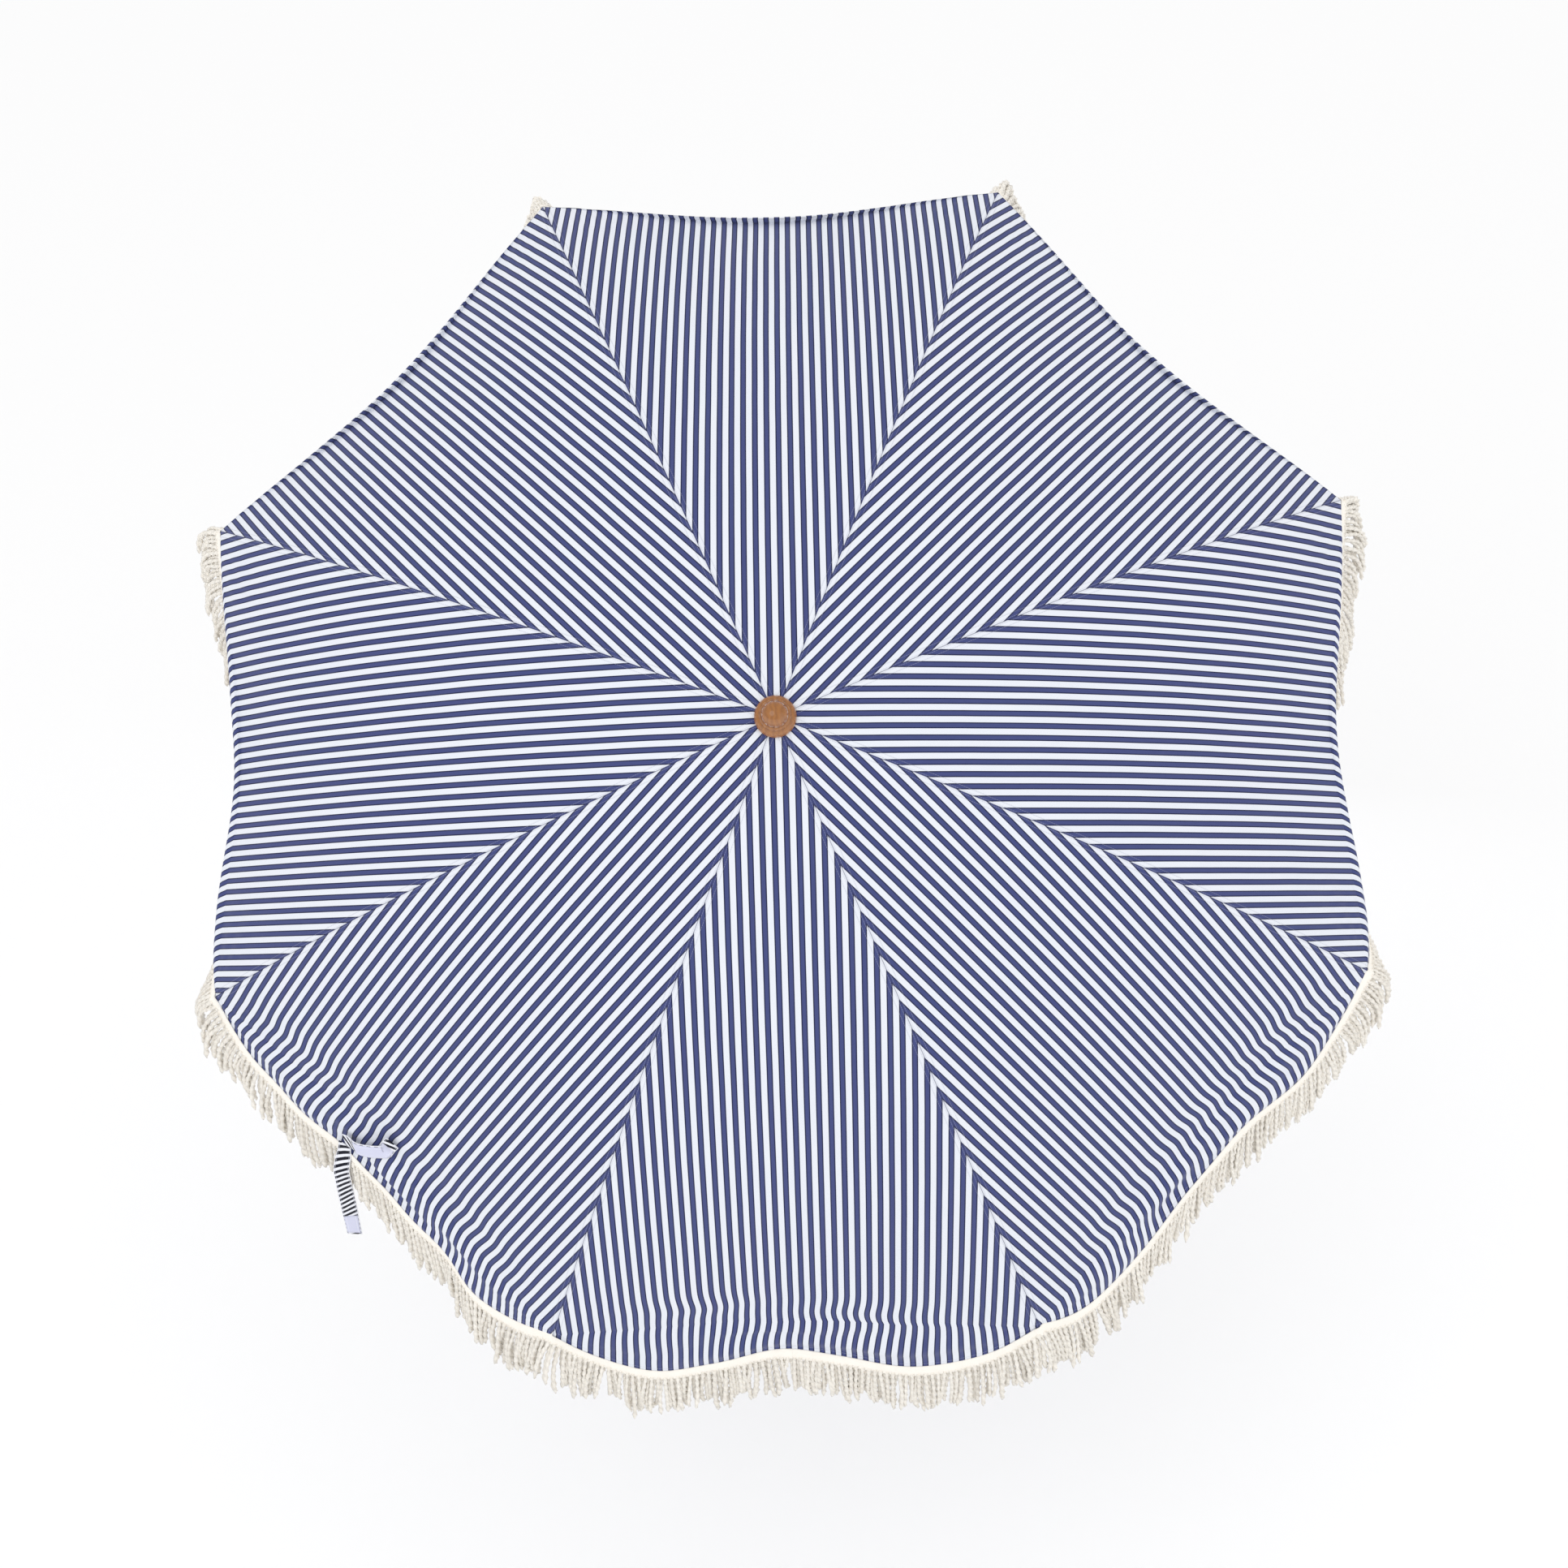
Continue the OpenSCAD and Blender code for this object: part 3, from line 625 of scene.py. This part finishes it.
def make_tie(material, pad_material):
    """Two arms of one strap, each ending in a hook-and-loop pad.

    One arm hangs over the fringe, and the other lies on the hem.
    """
    hem_us = np.array([TIE_AT - TIE_HEM_STEP, TIE_AT, TIE_AT + TIE_HEM_STEP]) - 1
    hem = world(finished_cloth(TIE_RIB, hem_us, np.full(3, TIE_SEWN_AT)))
    up = np.array([0, 0, 1.0])
    level = unit((hem[2] - hem[0]) * [1, 1, 0])
    face = np.cross(level, up)
    s = np.linspace(0, 1, TIE_STEPS)[:, None]
    clear = TIE_CLEAR_TOP + (TIE_CLEAR - TIE_CLEAR_TOP) * smooth(s / 0.25) - 0.004 * s
    hang = hem[1] + face * clear + level * (TIE_LEAN * s) - up * TIE_DROP * s
    turn = TIE_TURN * smooth(s / 0.2) + TIE_WAVE * np.sin(TIE_WAVE_TURN * np.pi * s)
    tangent = unit(np.gradient(hang, axis=0))
    across = unit(level - tangent * np.sum(level * tangent, -1, keepdims=True))
    out = unit(np.cross(across, -tangent))
    across, out = across * np.cos(turn) + out * np.sin(turn), out * np.cos(turn) - across * np.sin(turn)
    pieces = []
    arms = [("tie_arm_hanging", hang, across, out)]

    share = np.linspace(0, 1, TIE_STEPS)
    us = TIE_AT + TIE_ARM_GAP + (TIE_LIES_TO - TIE_AT) * share - 1
    vs = TIE_LIES_FROM_V + (TIE_LIES_TO_V - TIE_LIES_FROM_V) * share
    lying = finished_cloth(TIE_RIB, us, vs)
    side = plain_normal(TIE_RIB, us, vs) @ MAST_TURN.T
    lift = TIE_LIES_OFF + TIE_LIES_OFF_MORE * np.sin(np.pi * share) ** 2
    lying = world(lying) + side * lift[:, None]
    lying_along = unit(np.gradient(lying, axis=0))
    side = unit(side + TIE_LIFTS * np.array([0, -1.0, 0]))
    lying_out = unit(side - lying_along * np.sum(side * lying_along, -1, keepdims=True))
    arms.append(("tie_arm_lying", lying, unit(np.cross(lying_out, lying_along)), lying_out))
    for (name, path, wide, face), pad_length in zip(arms, TIE_PADS):
        points, quads, ends, places = ribbon_mesh(path, wide, face, TIE_W, TIE_T)
        arm = make_piece(name, points, [quads, ends], f"rib_{TIE_RIB}", [material], point_uvs={"Cut": places})
        length = places[-1, 1]
        last = int(TIE_STEPS * (1 - pad_length / length)) - 2
        points, quads, ends, places = ribbon_mesh(
            (path + face * TIE_T * TIE_PAD_OFF)[last:-1], wide[last:-1], face[last:-1],
            TIE_W * TIE_PAD_W, TIE_T * TIE_PAD_T)
        pad = make_piece(name.replace("arm", "pad"), points, [quads, ends], f"rib_{TIE_RIB}", [pad_material],
                         point_uvs={"Cut": places})
        pieces.append((arm, pad, length))
    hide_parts("tie_strap")
    return pieces


# ---------- materials ----------
class Nodes:
    """A small builder for one material's node tree."""

    def __init__(self, name):
        self.material = bpy.data.materials.new(name)
        self.material.use_nodes = True
        self.tree = self.material.node_tree
        self.shader = self.tree.nodes["Principled BSDF"]

    def add(self, kind, inputs=None, **settings):
        """A node with its settings and its inputs, which are values or other nodes' outputs."""
        node = self.tree.nodes.new(kind)
        for key, value in settings.items():
            setattr(node, key, value)
        for key, value in (inputs or {}).items():
            self.put(node.inputs[key], value)
        return node

    def put(self, socket, value):
        if isinstance(value, bpy.types.NodeSocket):
            self.tree.links.new(value, socket)
        else:
            socket.default_value = value

    def set(self, **inputs):
        for key, value in inputs.items():
            self.put(self.shader.inputs[key.replace("_", " ")], value)

    def math(self, operation, *values):
        return self.add("ShaderNodeMath", dict(enumerate(values)), operation=operation).outputs[0]

    def between(self, value, low, high, to_low=0.0, to_high=1.0):
        """value taken smoothly from the range low..high to the range to_low..to_high."""
        inputs = {"Value": value, "From Min": low, "From Max": high, "To Min": to_low, "To Max": to_high}
        return self.add("ShaderNodeMapRange", inputs, interpolation_type="SMOOTHSTEP").outputs["Result"]

    def mix(self, share, a, b):
        node = self.add("ShaderNodeMix", data_type="RGBA")
        for key, value in ((0, share), (6, a), (7, b)):
            self.put(node.inputs[key], value)
        return node.outputs[2]

    def noise(self, vector, scale, detail=3.0, roughness=0.5):
        inputs = {"Vector": vector, "Scale": scale, "Detail": detail, "Roughness": roughness}
        return self.add("ShaderNodeTexNoise", inputs).outputs["Fac"]

    def bump(self, height, distance, strength=1.0, normal=None):
        inputs = {"Height": height, "Distance": distance, "Strength": strength}
        if normal is not None:
            inputs["Normal"] = normal
        return self.add("ShaderNodeBump", inputs).outputs["Normal"]

    def object_place(self):
        return self.add("ShaderNodeTexCoord").outputs["Object"]

    def uv(self, name):
        return self.add("ShaderNodeUVMap", uv_map=name).outputs["UV"]

    def split(self, vector):
        node = self.add("ShaderNodeSeparateXYZ", {"Vector": vector})
        return node.outputs


def srgb(r, g, b):
    """A colour of 0-255 display values as linear light."""
    values = [c / 255 for c in (r, g, b)]
    return tuple(c / 12.92 if c <= 0.04045 else ((c + 0.055) / 1.055) ** 2.4 for c in values) + (1.0,)


BLUE_SHARE = 0.51
EDGE_SHARE = 0.10
THREAD = 0.0007


def stripe_mask(n, across, width, soft):
    """1 inside a blue stripe's width, 0 outside, where across is the offset from a white stripe's middle."""
    phase = n.math("FRACT", n.math("DIVIDE", across, STRIPE))
    off = n.math("ABSOLUTE", n.math("SUBTRACT", phase, 0.5))
    return n.between(off, width / 2 - soft, width / 2 + soft, 1.0, 0.0)


def weave_height(n, place, thread=THREAD):
    """A plain weave: warp and weft threads that pass over each other in turn."""
    xyz = n.split(place)
    kx = n.math("MULTIPLY", xyz[0], math.pi / thread)
    ky = n.math("MULTIPLY", xyz[1], math.pi / thread)
    over = n.math("MULTIPLY", n.math("SINE", kx), n.math("SINE", ky))
    ribs = n.math("ABSOLUTE", n.math("COSINE", kx))
    return n.math("ADD", n.math("MULTIPLY", over, 0.6), n.math("MULTIPLY", ribs, 0.4))


def stitch_line(n, distance, along, at, length=0.0034, width=0.00055):
    """A row of stitches at a distance from an edge: 1 on the thread, 0 off it."""
    near = n.between(n.math("ABSOLUTE", n.math("SUBTRACT", distance, at)), width * 0.4, width, 1.0, 0.0)
    dash = n.math("SUBTRACT", n.math("FRACT", n.math("DIVIDE", along, length)), 0.5)
    return n.math("MULTIPLY", near, n.between(n.math("ABSOLUTE", dash), 0.34, 0.44, 1.0, 0.0))


def canvas_material():
    """Polyester canvas with woven navy stripes, flat-felled seams along the ribs and a stitched hem."""
    n = Nodes("striped_canvas")
    cut = n.uv("Cut")
    cut_xy = n.split(cut)
    edge_xy = n.split(n.uv("Edge"))
    wander = n.math("MULTIPLY", n.math("SUBTRACT", n.noise(cut, 9.0), 0.5), 0.0007)
    across = n.math("ADD", cut_xy[0], wander)
    stripe = stripe_mask(n, across, BLUE_SHARE, 0.012)
    core = stripe_mask(n, across, BLUE_SHARE - 2 * EDGE_SHARE, 0.03)
    patchy = n.noise(cut, 14.0, detail=4.0)
    slub_place = n.add("ShaderNodeMapping", {"Vector": cut, "Scale": (1400.0, 60.0, 1.0)}).outputs["Vector"]
    slub = n.noise(slub_place, 1.0, detail=2.0)
    white = n.mix(patchy, srgb(231, 234, 241), srgb(224, 228, 238))
    blue = n.mix(slub, srgb(56, 64, 118), srgb(73, 82, 134))
    navy = n.mix(slub, srgb(22, 27, 62), srgb(36, 41, 80))
    colour = n.mix(stripe, white, n.mix(core, navy, blue))
    seam = n.between(edge_xy[0], 0.0, 0.0011, 1.0, 0.0)
    colour = n.mix(n.math("MULTIPLY", seam, 0.6), colour, srgb(58, 63, 104))
    stitches = n.math("MAXIMUM", stitch_line(n, edge_xy[0], cut_xy[1], 0.0022),
                      n.math("MAXIMUM", stitch_line(n, edge_xy[0], cut_xy[1], 0.0078),
                             stitch_line(n, edge_xy[1], cut_xy[0], 0.0105)))
    colour = n.mix(n.math("MULTIPLY", stitches, 0.35), colour, srgb(178, 182, 208))
    fell = n.between(edge_xy[0], 0.0082, 0.0092, 1.0, 0.0)
    relief_height = n.math("ADD", n.math("MULTIPLY", fell, 0.0004), n.math("MULTIPLY", stitches, 0.0003))
    relief_height = n.math("SUBTRACT", relief_height, n.math("MULTIPLY", seam, 0.0006))
    weave = n.math("MULTIPLY", weave_height(n, cut), 0.00006)
    normal = n.bump(n.math("ADD", relief_height, weave), 1.0, 0.7)
    rough = n.between(slub, 0.2, 0.8, 0.70, 0.84)
    n.set(Base_Color=colour, Roughness=rough, Normal=normal, Sheen_Weight=0.12, Sheen_Roughness=0.5,
          Specular_IOR_Level=0.3)
    return n.material


def cotton_material(name, tape):
    """Undyed cotton yarn: each yarn a random tone, some a little darker, with paler fuzz."""
    n = Nodes(name)
    place = n.object_place()
    yarn = n.split(n.uv("Yarn"))
    tone = n.noise(place, 60.0, detail=4.0)
    fuzz = n.noise(place, 900.0, detail=3.0)
    base = n.mix(tone, srgb(255, 251, 243), srgb(245, 239, 229))
    shade = n.between(yarn[0], 0.0, 1.0, 0.0, 0.45)
    colour = n.mix(shade, base, srgb(236, 229, 218))
    colour = n.mix(n.between(fuzz, 0.35, 0.65, 0.0, 0.25), colour, srgb(255, 251, 244))
    height = n.math("ADD", n.math("MULTIPLY", fuzz, 0.0004),
                    n.math("MULTIPLY", n.noise(place, 300.0), 0.0004))
    if tape:
        height = n.math("ADD", height, n.math("MULTIPLY", weave_height(n, place, 0.0011), 0.0002))
    n.set(Base_Color=colour, Roughness=n.between(fuzz, 0.2, 0.8, 0.78, 0.95), Normal=n.bump(height, 1.0, 0.6),
          Sheen_Weight=0.3, Sheen_Roughness=0.6, Specular_IOR_Level=0.2)
    return n.material


def strap_material():
    """White tape crossed by slanted near-black stripes."""
    n = Nodes("strap_cloth")
    cut = n.uv("Cut")
    xy = n.split(cut)
    slanted = n.math("ADD", xy[1], n.math("MULTIPLY", xy[0], 0.55))
    wobble = n.math("MULTIPLY", n.math("SUBTRACT", n.noise(cut, 120.0), 0.5), 0.0015)
    phase = n.math("FRACT", n.math("DIVIDE", n.math("ADD", slanted, wobble), 0.0112))
    band = n.between(n.math("ABSOLUTE", n.math("SUBTRACT", phase, 0.5)), 0.25, 0.28, 1.0, 0.0)
    border = n.between(n.math("ABSOLUTE", xy[0]), 0.0106, 0.0110, 1.0, 0.0)
    white = n.mix(n.noise(cut, 60.0), srgb(244, 245, 250), srgb(232, 234, 244))
    dark = n.mix(n.noise(cut, 500.0), srgb(10, 11, 24), srgb(22, 25, 46))
    colour = n.mix(n.math("MULTIPLY", band, border), white, dark)
    stitches = n.math("MAXIMUM", stitch_line(n, xy[0], xy[1], 0.0092, 0.0028),
                      stitch_line(n, n.math("MULTIPLY", xy[0], -1.0), xy[1], 0.0092, 0.0028))
    colour = n.mix(n.math("MULTIPLY", stitches, 0.6), colour, srgb(214, 217, 232))
    height = n.math("ADD", n.math("MULTIPLY", weave_height(n, cut, 0.0006), 0.00008),
                    n.math("MULTIPLY", stitches, 0.0003))
    n.set(Base_Color=colour, Roughness=n.between(n.noise(cut, 300.0), 0.3, 0.7, 0.7, 0.85),
          Normal=n.bump(height, 1.0, 0.7), Sheen_Weight=0.1, Specular_IOR_Level=0.3)
    return n.material


def pad_material():
    """The pale pile of a hook-and-loop pad."""
    n = Nodes("hook_and_loop_pad")
    cut = n.uv("Cut")
    pile = n.noise(cut, 1500.0, detail=2.0)
    colour = n.mix(pile, srgb(203, 205, 232), srgb(226, 228, 246))
    xy = n.split(cut)
    stitches = n.math("MAXIMUM", stitch_line(n, xy[0], xy[1], 0.0070, 0.0026),
                      stitch_line(n, n.math("MULTIPLY", xy[0], -1.0), xy[1], 0.0070, 0.0026))
    colour = n.mix(n.math("MULTIPLY", stitches, 0.7), colour, srgb(238, 239, 250))
    n.set(Base_Color=colour, Roughness=n.between(pile, 0.3, 0.7, 0.75, 0.9),
          Normal=n.bump(n.math("MULTIPLY", pile, 0.0006), 1.0, 0.8), Sheen_Weight=0.2,
          Specular_IOR_Level=0.25)
    return n.material


def wood_material(name, pale, dark, coat, grain_scale, tilt):
    """Turned, varnished wood: growth rings along the pole's own axis, fine pores and a coat of varnish."""
    n = Nodes(name)
    turned = n.add("ShaderNodeMapping", {"Vector": n.object_place(), "Rotation": (-tilt, 0.0, 0.0)})
    turned = turned.outputs["Vector"]
    stretched = n.add("ShaderNodeMapping", {"Vector": turned, "Scale": (1.0, 1.0, 0.055)}).outputs["Vector"]
    bend = n.noise(stretched, 30.0, detail=3.0)
    rings = n.add("ShaderNodeTexWave", {"Vector": stretched, "Scale": grain_scale, "Distortion": 7.0,
                                        "Detail": 3.0, "Detail Scale": 1.6},
                  wave_type="BANDS", bands_direction="X").outputs["Fac"]
    drawn_out = n.add("ShaderNodeMapping", {"Vector": turned, "Scale": (1.0, 1.0, 0.03)}).outputs["Vector"]
    pores = n.noise(drawn_out, 1500.0, detail=2.0)
    colour = n.mix(rings, pale, dark)
    colour = n.mix(n.between(pores, 0.30, 0.46, 0.55, 0.0), colour, n_darker(dark, 0.55))
    colour = n.mix(n.between(bend, 0.35, 0.75, 0.0, 0.35), colour, n_darker(pale, 1.12))
    rough = n.between(pores, 0.3, 0.6, 0.48, 0.34)
    height = n.math("ADD", n.math("MULTIPLY", rings, 0.00008), n.math("MULTIPLY", pores, 0.00012))
    n.set(Base_Color=colour, Roughness=rough, Normal=n.bump(height, 1.0, 0.5), Coat_Weight=coat,
          Coat_Roughness=0.07)
    return n.material


def n_darker(colour, share):
    return tuple(min(1.0, c * share) for c in colour[:3]) + (1.0,)


def painted_metal(name, colour, roughness, wear, metallic=0.0, coat=0.3):
    """Powder-coated or plated metal: an orange-peel skin, faint smudges, and scuffs at the edges."""
    n = Nodes(name)
    place = n.object_place()
    smudge = n.noise(place, 35.0, detail=4.0)
    peel = n.noise(place, 900.0, detail=2.0)
    edge = n.add("ShaderNodeNewGeometry").outputs["Pointiness"]
    worn = n.math("MULTIPLY", n.between(edge, 0.53, 0.60, 0.0, wear),
                  n.between(n.noise(place, 220.0), 0.45, 0.6))
    base = n.mix(smudge, colour, n_darker(colour, 0.86))
    n.set(Base_Color=n.mix(worn, base, srgb(168, 168, 166)),
          Roughness=n.between(smudge, 0.3, 0.7, roughness, roughness + 0.14),
          Normal=n.bump(n.math("MULTIPLY", peel, 0.0001), 1.0, 0.4), Metallic=metallic, Coat_Weight=coat,
          Coat_Roughness=0.3)
    return n.material


def moulded_plastic(name, colour, roughness):
    """Moulded plastic: a fine spark-eroded grain and faint handling marks."""
    n = Nodes(name)
    place = n.object_place()
    grain = n.noise(place, 1400.0, detail=2.0)
    marks = n.noise(place, 45.0, detail=5.0)
    n.set(Base_Color=n.mix(marks, colour, n_darker(colour, 0.82)),
          Roughness=n.between(marks, 0.3, 0.7, roughness, roughness + 0.15),
          Normal=n.bump(n.math("MULTIPLY", grain, 0.00012), 1.0, 0.5), Specular_IOR_Level=0.45)
    return n.material


# ---------- camera, light and floor ----------
VIEW_YAW = math.radians(-1.39)
VIEW_PITCH = math.radians(6.05)
VIEW_ROLL = math.radians(1.44)
VIEW_DISTANCE = 3 * CANOPY_R
VIEW_LENS = 41.86
SENSOR = 36.0
SHIFT_X = 0.0012
SHIFT_Y = -0.0240


def make_camera():
    """A camera in front of the canopy, turned a little from the mast's own axis."""
    pitch = np.array([[1, 0, 0], [0, math.cos(VIEW_PITCH), math.sin(VIEW_PITCH)],
                      [0, -math.sin(VIEW_PITCH), math.cos(VIEW_PITCH)]])
    yaw = np.array([[math.cos(VIEW_YAW), 0, math.sin(VIEW_YAW)], [0, 1, 0],
                    [-math.sin(VIEW_YAW), 0, math.cos(VIEW_YAW)]])
    roll = np.array([[math.cos(VIEW_ROLL), -math.sin(VIEW_ROLL), 0],
                     [math.sin(VIEW_ROLL), math.cos(VIEW_ROLL), 0], [0, 0, 1]])
    axes = MAST_TURN @ (yaw @ pitch @ roll).T
    rim_centre = world([0, 0, -CANOPY_RISE])
    data = bpy.data.cameras.new("camera")
    data.sensor_width = SENSOR
    data.lens = VIEW_LENS
    data.shift_x = SHIFT_X
    data.shift_y = SHIFT_Y
    data.clip_end = 100
    camera = bpy.data.objects.new("camera", data)
    bpy.context.scene.collection.objects.link(camera)
    matrix = np.eye(4)
    matrix[:3, :3] = axes
    matrix[:3, 3] = rim_centre + axes[:, 2] * VIEW_DISTANCE
    camera.matrix_world = Matrix(matrix.tolist())
    bpy.context.scene.camera = camera
    return camera


def area_light(name, place, target, size, power):
    data = bpy.data.lights.new(name, "AREA")
    data.shape = "DISK"
    data.size = size
    data.energy = power
    light = bpy.data.objects.new(name, data)
    bpy.context.scene.collection.objects.link(light)
    light.location = place
    light.rotation_euler = (Vector(target) - Vector(place)).to_track_quat("-Z", "Y").to_euler()
    return light


# ---------- putting it together ----------
WOOD_PALE = srgb(196, 132, 78)
WOOD_DARK = srgb(142, 84, 44)


def fold_with_rib(piece, i):
    """Gives a piece on rib i its own copy of its mesh, and works out the rib's fold axis, which nothing uses.
    """
    axis = world(spread((i - 0.5) * STEP + math.pi / 2, 1.0, 0.0)) - MAST_AT
    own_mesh(piece)


canvas = canvas_material()
tape_cotton = cotton_material("cotton_header", True)
yarn_cotton = cotton_material("cotton_yarn", False)
strap = strap_material()
pad = pad_material()

for rib in range(1, RIBS + 1):
    cloth = make_canopy(rib, canvas)
    tape, yarns, hem_length = make_fringe(rib, tape_cotton, yarn_cotton)
    for piece in (cloth, tape, yarns):
        fold_with_rib(piece, rib)

for arm, arm_pad, length in make_tie(strap, pad):
    fold_with_rib(arm, TIE_RIB)
    fold_with_rib(arm_pad, TIE_RIB)


def make_crown(material):
    """The round patch of canvas that closes the canopy's centre under the finial."""
    turns = np.linspace(0, 2 * np.pi, 65)[:-1]
    top = 0.0091
    rings = [(0.0033, top), (0.0236, top), (0.0236, top - CLOTH_T), (0.0033, top - CLOTH_T)]
    points = np.stack([spread(turns, r, z) for r, z in rings], 1)
    index = np.arange(points.shape[0] * 4).reshape(-1, 4)
    closed = np.concatenate([index, index[:1]])
    closed = np.concatenate([closed, closed[:, :1]], 1)
    quads = np.stack([closed[:-1, :-1], closed[:-1, 1:], closed[1:, 1:], closed[1:, :-1]], -1).reshape(-1, 4)
    flat = points.reshape(-1, 3)
    crown = make_piece("crown_patch", world(flat), [quads], "mast", [material],
                       point_uvs={"Cut": flat[:, :2], "Edge": np.full((len(flat), 2), 0.05)})
    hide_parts("canopy_crown")
    return crown


crown = make_crown(canvas)

finish_of = {
    "finial": wood_material("finial_wood", srgb(166, 106, 46), srgb(150, 94, 42), 1.0, 42.0, TILT),
    "hub_wood": wood_material("hub_wood", WOOD_PALE, WOOD_DARK, 0.35, 42.0, TILT),
    "mast_wood": wood_material("mast_wood", WOOD_PALE, WOOD_DARK, 0.5, 38.0, TILT),
    "pole_wood": wood_material("pole_wood", WOOD_PALE, WOOD_DARK, 0.5, 38.0, 0.0),
    "white_metal": painted_metal("white_powder_coat", srgb(238, 238, 236), 0.38, 0.5),
    "steel": painted_metal("brushed_steel", srgb(190, 191, 193), 0.26, 0.2, metallic=1.0, coat=0.0),
    "black_metal": painted_metal("black_powder_coat", srgb(36, 36, 38), 0.42, 0.6),
    "white_plastic": moulded_plastic("white_plastic", srgb(236, 236, 232), 0.42),
    "black_plastic": moulded_plastic("black_plastic", srgb(28, 28, 30), 0.4),
}
node_finish = {
    "ground_spike": "black_metal", "lower_pole": "pole_wood", "ferrule": "steel",
    "ferrule_screw": "black_plastic", "mid_pole": "pole_wood", "knuckle_base": "steel",
    "knuckle_bolt": "steel", "tilt_button": "black_plastic", "tilt_spring": "steel",
    "knuckle_head": "steel", "upper_pole": "mast_wood", "top_hub": "hub_wood", "hub_pins": "steel",
    "finial_stud": "steel", "finial": "finial", "runner": "hub_wood", "runner_pins": "steel",
    "runner_screw": "black_plastic",
}
for rib in range(1, RIBS + 1):
    node_finish[f"rib_{rib}"] = "white_metal"
    node_finish[f"strut_{rib}"] = "white_metal"
    node_finish[f"rib_fittings_{rib}"] = "white_plastic"
for name, finish in node_finish.items():
    node = frame["nodes"][name]
    node.data.materials.clear()
    node.data.materials.append(finish_of[finish])

make_camera()
bpy.context.scene.view_settings.view_transform = "Standard"

floor_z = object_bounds()[0].z
floor_mesh = bpy.data.meshes.new("floor")
FLOOR = 14.0
floor_mesh.from_pydata([(-FLOOR, -FLOOR, floor_z), (FLOOR, -FLOOR, floor_z), (FLOOR, FLOOR, floor_z),
                        (-FLOOR, FLOOR, floor_z)], [], [(0, 1, 2, 3)])
floor = bpy.data.objects.new("floor", floor_mesh)
bpy.context.scene.collection.objects.link(floor)
floor_look = Nodes("pale_floor")
floor_look.set(Base_Color=(0.97, 0.97, 0.972, 1.0), Roughness=0.9, Specular_IOR_Level=0.0)
floor_mesh.materials.append(floor_look.material)

# how bright the surroundings look in shiny surfaces, so that varnish keeps its colour
GLOSSY_WORLD = 0.4

middle = tuple(hub)
area_light("key", (-1.6, -3.4, 4.6), middle, 3.2, 26)
area_light("fill", (3.0, -2.6, 2.4), middle, 3.0, 7)
area_light("under", (0.4, 1.8, 0.9), middle, 2.4, 8)
world_look = bpy.data.worlds.new("studio")
world_look.use_nodes = True
world_look.node_tree.nodes["Background"].inputs["Color"].default_value = (1.0, 1.0, 1.0, 1.0)
tree = world_look.node_tree
seen_by = tree.nodes.new("ShaderNodeLightPath").outputs["Is Glossy Ray"]
dimmed = tree.nodes.new("ShaderNodeMapRange")
dimmed.inputs["To Min"].default_value = 1.0
dimmed.inputs["To Max"].default_value = GLOSSY_WORLD
tree.links.new(seen_by, dimmed.inputs["Value"])
tree.links.new(dimmed.outputs["Result"], tree.nodes["Background"].inputs["Strength"])
bpy.context.scene.world = world_look

bpy.context.view_layer.update()
